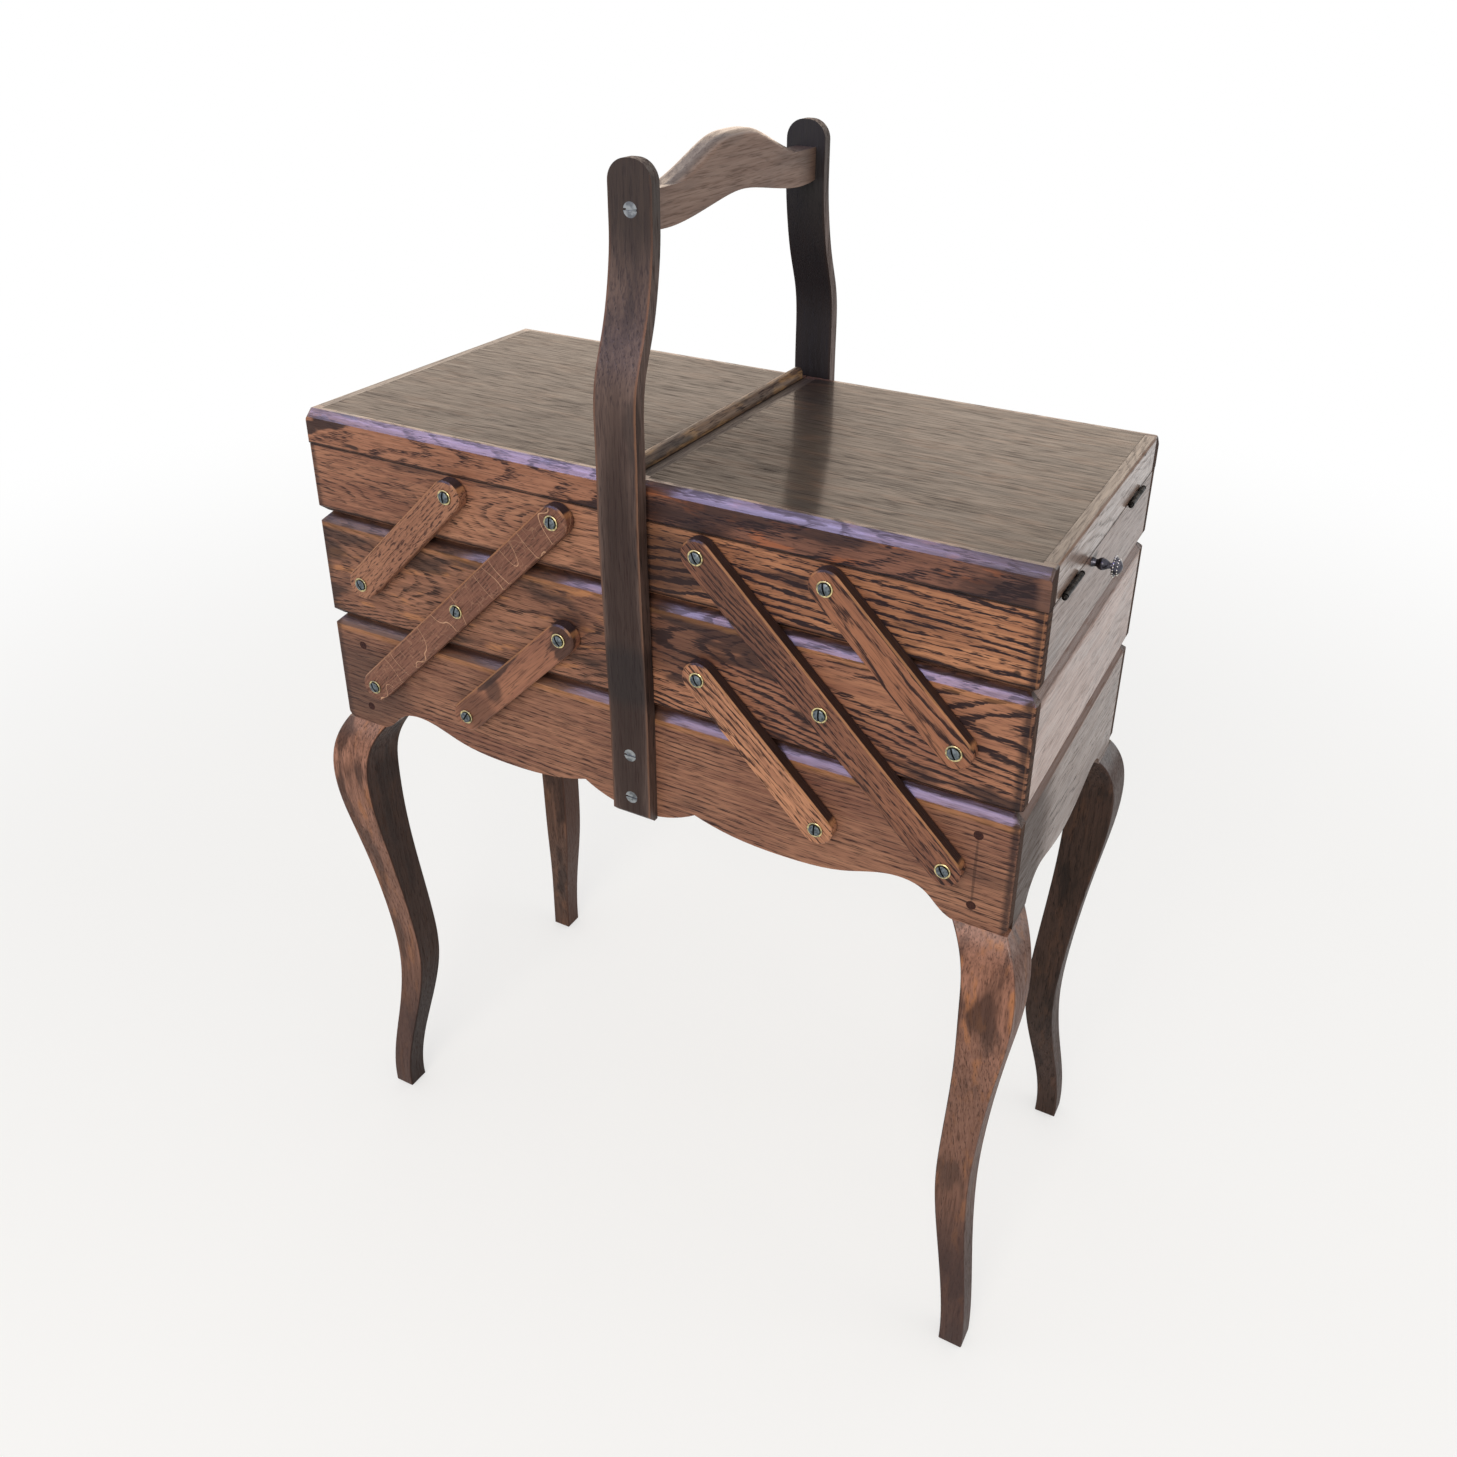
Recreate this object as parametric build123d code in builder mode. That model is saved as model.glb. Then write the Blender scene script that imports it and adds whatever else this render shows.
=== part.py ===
"""Wooden cantilever sewing box on four cabriole legs, in millimetres.

The origin is on the floor under the middle of the box, +Z is up, +X runs along
the box to its right end and -Y points at the front. The right half is drawn
and the left half is its mirror image.
"""
import os
from math import atan2, degrees, hypot, sqrt

from build123d import *

os.makedirs("parts", exist_ok=True)

# Overall sizes
box_length = 503.0
box_depth = 240.0
leg_height = 368.5
base_height = 84.0
mid_tray_height = 77.6
top_tray_height = 48.6
lid_height = 23.0

# Boards and sheets
board = 8.5
tray_sheet = 4.0
base_sheet = 5.0
sheet_groove = 3.0
tray_sheet_lift = 3.5
base_sheet_lift = 21.0

# Gaps and edges
tier_gap = 0.4
lid_gap = 0.4
centre_gap = 1.0
rim_chamfer = 7.0
under_chamfer = 4.5
corner_round = 1.5
lid_chamfer = 5.0
lid_end_round = 2.0
lid_corner_ease = 3.0
fit_gap = 0.02
running_gap = 0.05

# Lid
lid_rail = 11.0
lid_sheet = 6.0
lid_rebate = 3.0

# Legs
leg_shoulder = 35.0
post_drop = 10.0
knee_out = 12.0
ankle_in = 8.0
toe_out = 3.0
knee_taper = 1.5
ankle_width = 22.8
foot_width = 17.0
leg_splay = 2.0
foot_chamfer = 2.0
leg_edge_round = 1.3

# Aprons
apron_arch = 18.0
apron_arch_reach = 36.0
apron_cusp = 42.0
apron_cusp_rise = 13.0
apron_centre_rise = 1.0
end_arch = 13.0
end_centre_rise = 3.0
apron_corner = 8.0

# Dowel pegs
peg_radius = 3.0
peg_length = 12.0
peg_inset = 23.5
peg_low = 14.5
peg_high = 64.5

# Lifting arms and their pivots
arm_width = 21.5
arm_thickness = 9.0
arm_edge = 1.0
arm_side_gap = 0.3
pivot_end_inset = 39.5
pivot_drop = 44.0
pivot_lift = 2.0
arm_step = 81.0
pivot_shank = 2.2
pivot_bite = 7.0
washer_radius = 5.0
washer_thickness = 1.0
pivot_head_radius = 3.6
pivot_head_height = 1.8
pivot_slot = 1.0
pivot_slot_depth = 0.8

# Handle
upright_width = 28.0
upright_thickness = 8.5
upright_top_thickness = 7.8
upright_rise = 176.0
upright_top_round = 12.5
upright_foot = 1.0
upright_foot_chamfer = 5.0
upright_bend_drop = 14.0
upright_bow = 3.8
upright_lean = 18.0
upright_straight = 35.0
lid_swing_gap = 0.5
bar_thickness = 15.0
bar_drop = 17.0
bar_end_height = 20.5
bar_crown = 21.0
bar_hollow = 7.5
bar_round = 5.0
screw_head_radius = 4.3
screw_shank = 2.0
screw_slot = 1.2
screw_slot_depth = 1.0
upright_screw_low = 18.0
upright_screw_high = 50.0
foot_screw_bite = 7.0
bar_screw_bite = 18.0
bar_screw_drop = 9.4

# Lid hinges
hinge_front = -81.0
hinge_rear = 62.0
hinge_length = 30.0
knuckle_length = 9.0
knuckle_gap = 0.3
hinge_leaf = 1.0
hinge_leaf_width = 8.0
barrel_radius = 1.6
hinge_pin = 0.8
ball_radius = 1.6
barrel_stand_off = 0.3

# Knob on each end
knob_y = -34.0
knob_drop = 5.6
knob_spigot = 2.2
knob_spigot_length = 8.0
knob_length = 17.5
knob_stem = 3.0
knob_bulb = 3.7
knob_neck = 1.7
knob_collar = 6.6
knob_collar_width = 2.4

# Half-round strip on the left lid
strip_width = 11.0
strip_edge = 1.0
strip_inset = 7.5

# Places that follow from the sizes above
half_length = box_length / 2
half_depth = box_depth / 2
inner_length = half_length - board
inner_depth = half_depth - board
inner_end = centre_gap / 2
base_bottom = leg_height
base_top = base_bottom + base_height
mid_bottom = base_top + tier_gap
mid_top = mid_bottom + mid_tray_height
top_bottom = mid_top + tier_gap
top_top = top_bottom + top_tray_height
lid_bottom = top_top + lid_gap
lid_top = lid_bottom + lid_height
arm_rise = mid_tray_height + tier_gap + pivot_lift
low_pivot = base_top - pivot_drop
mid_pivot = low_pivot + arm_rise
high_pivot = mid_pivot + arm_rise
outer_pivot = half_length - pivot_end_inset
middle_pivot = outer_pivot - arm_step
centre_pivot = middle_pivot - arm_step
arm_face = half_depth + arm_side_gap + arm_thickness
washer_face = arm_face + running_gap + washer_thickness
head_seat = washer_face + running_gap
hinge_axis_x = half_length + barrel_stand_off + barrel_radius
hinge_axis_z = top_top + lid_gap / 2
knob_height = top_top - knob_drop
lid_reach = hypot(hinge_axis_x - inner_end, lid_height)
lid_clear = hinge_axis_z + sqrt(lid_reach**2 - (hinge_axis_x - upright_width / 2) ** 2)
upright_bottom = base_bottom + upright_foot
upright_top = lid_top + upright_rise
upright_face = half_depth + upright_thickness
bar_reach = half_depth - upright_lean
bar_face = bar_reach + upright_top_thickness
bar_bottom = upright_top - bar_drop - bar_end_height
bar_screw_height = upright_top - bar_drop - bar_screw_drop
bar_screw_length = upright_top_thickness + bar_screw_bite
foot_screw_heights = [base_bottom + upright_screw_low, base_bottom + upright_screw_high]
peg_points = [(sign * (half_length - peg_inset), base_bottom + rise) for sign in (-1, 1) for rise in (peg_low, peg_high)]
base_pivot_points = [(sign * place, low_pivot) for sign in (-1, 1) for place in (middle_pivot, outer_pivot)]
mid_pivot_points = [(place, mid_pivot) for place in (centre_pivot, middle_pivot, outer_pivot)]
top_pivot_points = [(place, high_pivot) for place in (centre_pivot, middle_pivot)]


def save(piece, name):
    """Label a finished piece and write it to its own file."""
    piece.part.label = name
    export_step(piece.part, f"parts/{name}.step")


def save_mirrored(piece, plane, name):
    """Write the mirror image of a piece under its own name."""
    with BuildPart() as image:
        mirror(piece.part, about=plane)
    save(image, name)


def save_both_sides(piece, name):
    """Write a right-hand piece and its left-hand mirror image."""
    save(piece, f"right_{name}")
    save_mirrored(piece, Plane.YZ, f"left_{name}")


def save_rear_boards(front, name):
    """Write the rear boards that match the front board of a tray."""
    with BuildPart() as rear:
        mirror(front.part, about=Plane.XZ)
    save_both_sides(rear, name)



def worked_block(low_x, bottom, top, rim=0.0, under=0.0):
    """Solid block of one tier from low_x to the right end, with its outer edges chamfered.

    A block of the right half keeps a plain face towards the middle.
    """
    length = half_length - low_x
    first = 0 if low_x < 0 else 1
    with BuildPart() as block:
        with BuildSketch(Plane.XY.offset(bottom)):
            with Locations((low_x + length / 2, 0)):
                Rectangle(length, box_depth)
        extrude(amount=top - bottom)
        if under:
            chamfer(block.faces().sort_by(Axis.Z)[0].edges().sort_by(Axis.X)[first:], under)
        top_edges = block.faces().sort_by(Axis.Z)[-1].edges().sort_by(Axis.X)[first:]
        if rim:
            chamfer(top_edges, rim)
        corners = block.edges().filter_by(Axis.Z)
        if first:
            corners = corners.group_by(Axis.X)[-1]
        fillet(corners, corner_round)
    return block.part


def slab(low, high, mode=Mode.ADD):
    """Box between two opposite corners."""
    centre = tuple((a + b) / 2 for a, b in zip(low, high))
    with Locations(centre):
        Box(*[b - a for a, b in zip(low, high)], mode=mode)


def front_holes(points, radius, depth):
    """Round holes bored into the front face."""
    with BuildSketch(Plane.XZ.offset(half_depth)) as rings:
        with Locations(*points):
            Circle(radius)
    extrude(rings.sketch, amount=-depth, mode=Mode.SUBTRACT)


def front_screw(face, height, length, gap=0.0, mode=Mode.ADD):
    """Countersunk screw entering from the front, or with a gap the hole for it."""
    head = screw_head_radius + gap
    shank = screw_shank + gap
    with BuildSketch(Plane.YZ) as half_screw:
        Polygon(
            (-face, height),
            (-face, height + head),
            (head - shank - face, height + shank),
            (length + gap - face, height + shank),
            (length + gap - face, height),
            align=None,
        )
    revolve(half_screw.sketch, axis=Axis((0, 0, height), (0, 1, 0)), mode=mode)


# Base: two long panels with cut aprons, two end panels and a floor sheet
base_block = worked_block(-half_length, base_bottom, base_top, rim=rim_chamfer)
base_sheet_bottom = base_bottom + base_sheet_lift
base_sheet_top = base_sheet_bottom + base_sheet
base_groove_low = (-inner_length - sheet_groove, -inner_depth - sheet_groove, base_sheet_bottom - fit_gap)
base_groove_high = (inner_length + sheet_groove, inner_depth + sheet_groove, base_sheet_top + fit_gap)
foot_screw_length = upright_thickness + foot_screw_bite
apron_side = half_length - leg_shoulder
apron_peak = apron_side - apron_arch_reach
apron_run = apron_peak - apron_cusp

with BuildPart() as base_front_panel:
    with BuildSketch(Plane.XZ.offset(inner_depth)):
        with BuildLine():
            right_curve = Spline(
                (apron_side, base_bottom),
                (apron_side - 0.17 * apron_arch_reach, base_bottom + 0.19 * apron_arch),
                (apron_side - 0.5 * apron_arch_reach, base_bottom + 0.79 * apron_arch),
                (apron_peak, base_bottom + apron_arch),
                (apron_cusp + 0.76 * apron_run, base_bottom + 0.5 * apron_arch),
                (apron_cusp + 0.48 * apron_run, base_bottom + 0.24 * apron_arch),
                (apron_cusp + 0.2 * apron_run, base_bottom + 0.35 * apron_arch),
                (apron_cusp, base_bottom + apron_cusp_rise),
            )
            mirror(right_curve, about=Plane.YZ)
            ThreePointArc(
                (apron_cusp, base_bottom + apron_cusp_rise),
                (0, base_bottom + apron_centre_rise),
                (-apron_cusp, base_bottom + apron_cusp_rise),
            )
            Polyline(
                (apron_side, base_bottom),
                (half_length, base_bottom),
                (half_length, base_top),
                (-half_length, base_top),
                (-half_length, base_bottom),
                (-apron_side, base_bottom),
            )
        make_face()
    extrude(amount=board)
    low_edges = base_front_panel.edges().filter_by(Axis.Y).group_by(Axis.Z)[0].sort_by(Axis.X)
    fillet([low_edges[0], low_edges[-1]], apron_corner)
    add(base_block, mode=Mode.INTERSECT)
    slab(base_groove_low, base_groove_high, mode=Mode.SUBTRACT)
    front_holes(peg_points, peg_radius + fit_gap, board)
    front_holes(base_pivot_points, pivot_shank + fit_gap, pivot_bite + fit_gap)
    for height in foot_screw_heights:
        front_screw(upright_face, height, foot_screw_length, fit_gap, Mode.SUBTRACT)
save(base_front_panel, "base_front_panel")
save_mirrored(base_front_panel, Plane.XZ, "base_rear_panel")

with BuildPart() as base_right_end:
    with BuildSketch(Plane.YZ.offset(inner_length)):
        with BuildLine():
            end_side = half_depth - leg_shoulder
            end_curve = Spline(
                (end_side, base_bottom),
                (0.905 * end_side, base_bottom + 0.72 * end_arch),
                (0.776 * end_side, base_bottom + end_arch),
                (0.53 * end_side, base_bottom + 0.77 * end_arch),
                (0.235 * end_side, base_bottom + 0.35 * end_arch),
                (0, base_bottom + end_centre_rise),
            )
            mirror(end_curve, about=Plane.YZ)
            Polyline(
                (end_side, base_bottom),
                (inner_depth, base_bottom),
                (inner_depth, base_top),
                (-inner_depth, base_top),
                (-inner_depth, base_bottom),
                (-end_side, base_bottom),
            )
        make_face()
    extrude(amount=board)
    add(base_block, mode=Mode.INTERSECT)
    slab(base_groove_low, base_groove_high, mode=Mode.SUBTRACT)
save(base_right_end, "base_right_end")
save_mirrored(base_right_end, Plane.YZ, "base_left_end")

with BuildPart() as base_floor:
    sheet_reach_x = inner_length + sheet_groove - fit_gap
    sheet_reach_y = inner_depth + sheet_groove - fit_gap
    slab((-sheet_reach_x, -sheet_reach_y, base_sheet_bottom), (sheet_reach_x, sheet_reach_y, base_sheet_top))
    post_x = half_length - leg_shoulder - fit_gap
    post_y = half_depth - leg_shoulder - fit_gap
    for sign_x in (-1, 1):
        for sign_y in (-1, 1):
            with Locations((sign_x * (post_x + leg_shoulder / 2), sign_y * (post_y + leg_shoulder / 2), base_sheet_bottom)):
                Box(leg_shoulder, leg_shoulder, 3 * base_sheet, mode=Mode.SUBTRACT)
save(base_floor, "base_floor")


# Legs: cabriole legs, each with a square post that stands inside a corner of the base
leg_stations = [
    (1.0, 0.0, leg_shoulder),
    (0.94, 0.8 * knee_out, leg_shoulder - knee_taper),
    (0.865, knee_out, leg_shoulder - knee_taper),
    (0.71, 0.42 * knee_out, 0.5 * (leg_shoulder - knee_taper + ankle_width)),
    (0.473, -0.75 * ankle_in, ankle_width + 1),
    (0.36, -ankle_in, ankle_width),
    (0.216, -0.5 * ankle_in, 0.38 * ankle_width + 0.62 * foot_width),
    (0.12, 0.25 * toe_out, foot_width + 0.5),
    (0.0, toe_out, foot_width),
]


def leg_outline(face, sign, splay):
    """Side view of a leg whose shoulder is flush with a face of the box."""
    outer = []
    inner = []
    for share, offset, width in leg_stations:
        place = face + offset + splay * (1 - share)
        height = foot_chamfer + share * (leg_height - foot_chamfer)
        outer.append((sign * place, height))
        inner.append((sign * (place - width), height))
    sole_outer = (outer[-1][0] - sign * foot_chamfer, 0)
    sole_inner = (inner[-1][0] + sign * foot_chamfer, 0)
    with BuildLine() as outline:
        Spline(*outer)
        Polyline(outer[-1], sole_outer, sole_inner, inner[-1])
        Spline(*inner)
        Line(inner[0], outer[0])
    make_face(outline.edges())


with BuildPart() as leg_front_right:
    with BuildSketch(Plane.XZ):
        leg_outline(half_length, 1, leg_splay)
    extrude(amount=box_depth)
    with BuildSketch(Plane.YZ):
        leg_outline(half_depth, -1, 0)
    extrude(amount=box_length, mode=Mode.INTERSECT)
    fillet([edge for edge in leg_front_right.edges() if edge.length > 0.9 * leg_height], leg_edge_round)
    post_low = (half_length - leg_shoulder, -inner_depth, base_bottom)
    post_high = (inner_length, leg_shoulder - half_depth, base_top - post_drop)
    slab(post_low, post_high)
    front_holes(peg_points, peg_radius + fit_gap, peg_length + fit_gap)
save(leg_front_right, "leg_front_right")
save_mirrored(leg_front_right, Plane.XZ, "leg_rear_right")

with BuildPart() as leg_front_left:
    mirror(leg_front_right.part, about=Plane.YZ)
save(leg_front_left, "leg_front_left")
save_mirrored(leg_front_left, Plane.XZ, "leg_rear_left")

with BuildPart() as base_pegs:
    with BuildSketch(Plane.XZ.offset(half_depth)):
        with Locations(*peg_points):
            Circle(peg_radius)
    extrude(amount=-peg_length)
    mirror(about=Plane.XZ)
save(base_pegs, "base_pegs")


# Handle: two bent uprights screwed to the base panels, and a bar between their tops
bend_start = base_top - upright_bend_drop
bow_run = top_top - bend_start
lean_run = upright_top - upright_straight - lid_clear
upright_stations = [
    (bend_start, 0.0, upright_thickness),
    (bend_start + 0.36 * bow_run, 0.42 * upright_bow, upright_thickness),
    (bend_start + 0.67 * bow_run, 0.8 * upright_bow, upright_thickness),
    (top_top, upright_bow, upright_thickness),
    (0.5 * (top_top + lid_clear), 0.84 * upright_bow, upright_thickness),
    (lid_clear, lid_swing_gap, upright_thickness),
    (lid_clear + 0.2 * lean_run, -0.29 * upright_lean, 0.7 * upright_thickness + 0.3 * upright_top_thickness),
    (lid_clear + 0.35 * lean_run, -0.53 * upright_lean, 0.5 * upright_thickness + 0.5 * upright_top_thickness),
    (lid_clear + 0.65 * lean_run, -0.84 * upright_lean, upright_top_thickness),
    (upright_top - upright_straight, -upright_lean, upright_top_thickness),
]
upright_inner = [(-half_depth - offset, height) for height, offset, thickness in upright_stations]
upright_outer = [(-half_depth - offset - thickness, height) for height, offset, thickness in upright_stations]

with BuildPart() as handle_upright_front:
    with BuildSketch(Plane.YZ):
        with BuildLine():
            Spline(*upright_inner, tangents=((0, 1), (0, 1)))
            Spline(*upright_outer, tangents=((0, 1), (0, 1)))
            Polyline(upright_inner[0], (-half_depth, upright_bottom), (-upright_face, upright_bottom), upright_outer[0])
            Polyline(upright_inner[-1], (-bar_reach, upright_top), (-bar_face, upright_top), upright_outer[-1])
        make_face()
    extrude(amount=upright_width / 2, both=True)
    top_corners = handle_upright_front.edges().filter_by(Axis.Y).group_by(Axis.Z)[-1]
    fillet(top_corners, upright_top_round)
    foot_edge = handle_upright_front.edges().filter_by(Axis.X).group_by(Axis.Z)[0].sort_by(Axis.Y)[0]
    chamfer(foot_edge, upright_foot_chamfer)
    for height in foot_screw_heights:
        front_screw(upright_face, height, foot_screw_length, fit_gap, Mode.SUBTRACT)
    front_screw(bar_face, bar_screw_height, bar_screw_length, fit_gap, Mode.SUBTRACT)
save(handle_upright_front, "handle_upright_front")
save_mirrored(handle_upright_front, Plane.XZ, "handle_upright_rear")

with BuildPart() as handle_bar:
    with BuildSketch(Plane.YZ):
        with BuildLine():
            bar_shoulder = upright_top - bar_drop
            crown_shares = [(0.8, 0.0), (0.59, 0.27), (0.356, 0.69), (0.178, 0.95)]
            crown = [(share * bar_reach, bar_shoulder + rise * bar_crown) for share, rise in crown_shares]
            crown_left = [(-place, height) for place, height in crown]
            Spline(*crown, (0, bar_shoulder + bar_crown), *reversed(crown_left))
            hollow_shares = [(1.0, 0.0), (0.475, 0.21), (0.25, 0.68)]
            hollow = [(share * bar_reach, bar_bottom + rise * bar_hollow) for share, rise in hollow_shares]
            hollow_left = [(-place, height) for place, height in hollow]
            Spline(*hollow, (0, bar_bottom + bar_hollow), *reversed(hollow_left))
            Polyline(crown[0], (bar_reach, bar_shoulder), hollow[0])
            Polyline(crown_left[0], (-bar_reach, bar_shoulder), hollow_left[0])
        make_face()
    extrude(amount=bar_thickness / 2, both=True)
    crown_edges = handle_bar.edges().group_by(Axis.Z)[-1]
    fillet(crown_edges, bar_round)
    for turn in (0, 180):
        with BuildSketch(Plane.XZ.rotated((0, 0, turn)).offset(bar_reach)):
            with Locations((0, bar_screw_height)):
                Circle(screw_shank + fit_gap)
        extrude(amount=-bar_screw_bite - fit_gap, mode=Mode.SUBTRACT)
save(handle_bar, "handle_bar")

with BuildPart() as handle_screws:
    for height in foot_screw_heights:
        front_screw(upright_face, height, foot_screw_length)
    front_screw(bar_face, bar_screw_height, bar_screw_length)
    for face, height in [(upright_face, foot_screw_heights[0]), (upright_face, foot_screw_heights[1]), (bar_face, bar_screw_height)]:
        with Locations((0, -face, height)):
            Box(2 * screw_head_radius, 2 * screw_slot_depth, screw_slot, mode=Mode.SUBTRACT)
    mirror(about=Plane.XZ)
save(handle_screws, "handle_screws")


# Pivots: round-head screws with a washer under the head, in front and at the rear
def pivot_set(points):
    """Screws and washers on the front face, mirrored to the rear."""
    with BuildPart() as pivots:
        with BuildSketch(Plane.XZ.offset(half_depth - pivot_bite)):
            with Locations(*points):
                Circle(pivot_shank)
        extrude(amount=head_seat - half_depth + pivot_bite)
        with BuildSketch(Plane.XZ.offset(head_seat)):
            with Locations(*points):
                Circle(pivot_head_radius)
        extrude(amount=pivot_head_height)
        with BuildSketch(Plane.XZ.offset(head_seat + pivot_head_height)):
            with Locations(*points):
                Rectangle(2 * pivot_head_radius, pivot_slot)
        extrude(amount=-pivot_slot_depth, mode=Mode.SUBTRACT)
        with BuildSketch(Plane.XZ.offset(arm_face + running_gap)):
            with Locations(*points):
                Circle(washer_radius)
                Circle(pivot_shank + running_gap, mode=Mode.SUBTRACT)
        extrude(amount=washer_thickness)
        mirror(about=Plane.XZ)
    return pivots


save(pivot_set(base_pivot_points), "base_pivots")
save_both_sides(pivot_set(mid_pivot_points), "mid_tray_pivots")
save_both_sides(pivot_set(top_pivot_points), "top_tray_pivots")


# Trays: front and rear boards over two end boards, with a thin sheet let in as the floor
def tray_groove(bottom):
    """Groove for the floor sheet of a tray."""
    low = (inner_end + board - sheet_groove, -inner_depth - sheet_groove, bottom + tray_sheet_lift - fit_gap)
    high = (inner_length + sheet_groove, inner_depth + sheet_groove, bottom + tray_sheet_lift + tray_sheet + fit_gap)
    slab(low, high, mode=Mode.SUBTRACT)


def tray_front(block, bottom, top, pivot_points):
    """Front board over the full length of a tray, bored for the pivot screws."""
    with BuildPart() as front:
        add(block)
        slab((inner_end, -half_depth, bottom), (half_length, -inner_depth, top), mode=Mode.INTERSECT)
        tray_groove(bottom)
        front_holes(pivot_points, pivot_shank + fit_gap, pivot_bite + fit_gap)
    return front


def tray_end(block, bottom, top, low_x):
    """End board between the front and rear boards."""
    with BuildPart() as end:
        add(block)
        slab((low_x, -inner_depth, bottom), (low_x + board, inner_depth, top), mode=Mode.INTERSECT)
        tray_groove(bottom)
    return end


def tray_floor(bottom):
    """Floor sheet held in the grooves of the four boards."""
    low = (inner_end + board - sheet_groove + fit_gap, fit_gap - inner_depth - sheet_groove, bottom + tray_sheet_lift)
    high = (inner_length + sheet_groove - fit_gap, inner_depth + sheet_groove - fit_gap, bottom + tray_sheet_lift + tray_sheet)
    with BuildPart() as floor:
        slab(low, high)
    return floor


mid_block = worked_block(inner_end, mid_bottom, mid_top, rim=rim_chamfer, under=under_chamfer)
mid_front = tray_front(mid_block, mid_bottom, mid_top, mid_pivot_points)
save_both_sides(mid_front, "mid_tray_front")
save_rear_boards(mid_front, "mid_tray_rear")
save_both_sides(tray_end(mid_block, mid_bottom, mid_top, inner_length), "mid_tray_outer_end")
save_both_sides(tray_end(mid_block, mid_bottom, mid_top, inner_end), "mid_tray_inner_end")
save_both_sides(tray_floor(mid_bottom), "mid_tray_floor")

top_block = worked_block(inner_end, top_bottom, top_top, under=under_chamfer)
top_front = tray_front(top_block, top_bottom, top_top, top_pivot_points)
save_both_sides(top_front, "top_tray_front")
save_rear_boards(top_front, "top_tray_rear")
save_both_sides(tray_end(top_block, top_bottom, top_top, inner_end), "top_tray_inner_end")
save_both_sides(tray_floor(top_bottom), "top_tray_floor")


# Lid hinges: each has a leaf let into the tray, a leaf let into the lid and a pin with ball ends
hinge_places = [hinge_front, hinge_rear]
knuckle_ends = [
    (-hinge_length / 2, knuckle_length - hinge_length / 2),
    (hinge_length / 2 - knuckle_length, hinge_length / 2),
]
lid_knuckle = hinge_length / 2 - knuckle_length - knuckle_gap


def hinge_mortises(bottom, top):
    """Shallow recesses for the hinge leaves in the outer end."""
    for place in hinge_places:
        low = (half_length - hinge_leaf_width, place - hinge_length / 2 - fit_gap, bottom)
        slab(low, (half_length, place + hinge_length / 2 + fit_gap, top), mode=Mode.SUBTRACT)


def barrel(low_y, high_y, radius, mode=Mode.ADD):
    """Round bar on the axis of the lid hinges."""
    with BuildSketch(Plane.XZ.offset(-low_y)) as section:
        with Locations((hinge_axis_x, hinge_axis_z)):
            Circle(radius)
    extrude(section.sketch, amount=low_y - high_y, mode=mode)


with BuildPart() as top_outer_end:
    add(tray_end(top_block, top_bottom, top_top, inner_length).part)
    hinge_mortises(top_top - hinge_leaf - fit_gap, top_top)
    with BuildSketch(Plane.YZ.offset(half_length)):
        with Locations((knob_y, knob_height)):
            Circle(knob_spigot + fit_gap)
    extrude(amount=-knob_spigot_length - fit_gap, mode=Mode.SUBTRACT)
save_both_sides(top_outer_end, "top_tray_outer_end")

with BuildPart() as tray_hinge_leaves:
    for place in hinge_places:
        low = (half_length - hinge_leaf_width + fit_gap, place - hinge_length / 2, top_top - hinge_leaf)
        slab(low, (half_length, place + hinge_length / 2, top_top))
        for low_y, high_y in knuckle_ends:
            slab((half_length, place + low_y, top_top - hinge_leaf), (hinge_axis_x, place + high_y, top_top))
            barrel(place + low_y, place + high_y, barrel_radius)
            barrel(place + low_y, place + high_y, hinge_pin + running_gap, Mode.SUBTRACT)
save_both_sides(tray_hinge_leaves, "top_tray_hinge_leaves")

with BuildPart() as lid_hinge_leaves:
    for place in hinge_places:
        low = (half_length - hinge_leaf_width + fit_gap, place - hinge_length / 2, lid_bottom)
        slab(low, (half_length, place + hinge_length / 2, lid_bottom + hinge_leaf))
        slab((half_length, place - lid_knuckle, lid_bottom), (hinge_axis_x, place + lid_knuckle, lid_bottom + hinge_leaf))
        barrel(place - lid_knuckle, place + lid_knuckle, barrel_radius)
        pin_reach = hinge_length / 2 + knuckle_gap + ball_radius
        barrel(place - pin_reach, place + pin_reach, hinge_pin)
        for sign in (-1, 1):
            with Locations((hinge_axis_x, place + sign * pin_reach, hinge_axis_z)):
                Sphere(ball_radius)
save_both_sides(lid_hinge_leaves, "lid_hinge_leaves")


# Knob: one turned piece whose spigot is glued into the outer end of the top tray
with BuildPart() as knob:
    with BuildSketch(Plane.XY.offset(knob_height)):
        with BuildLine():
            tip = half_length + knob_length
            collar_end = tip - knob_length / 5
            collar_start = collar_end - knob_collar_width
            Polyline(
                (half_length, knob_y + knob_stem),
                (half_length, knob_y + knob_spigot),
                (half_length - knob_spigot_length, knob_y + knob_spigot),
                (half_length - knob_spigot_length, knob_y),
                (tip, knob_y),
            )
            Spline(
                (half_length, knob_y + knob_stem),
                (half_length + 0.14 * knob_length, knob_y + 0.72 * knob_stem),
                (half_length + 0.34 * knob_length, knob_y + knob_bulb),
                (half_length + 0.55 * knob_length, knob_y + 0.5 * (knob_bulb + knob_neck)),
                (collar_start, knob_y + knob_neck),
            )
            Polyline(
                (collar_start, knob_y + knob_neck),
                (collar_start, knob_y + knob_collar),
                (collar_end, knob_y + knob_collar),
            )
            Spline(
                (collar_end, knob_y + knob_collar),
                (tip - 0.06 * knob_length, knob_y + 0.6 * knob_collar),
                (tip, knob_y),
            )
        make_face()
    revolve(axis=Axis((0, knob_y, knob_height), (1, 0, 0)))
save_both_sides(knob, "top_tray_knob")


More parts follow.
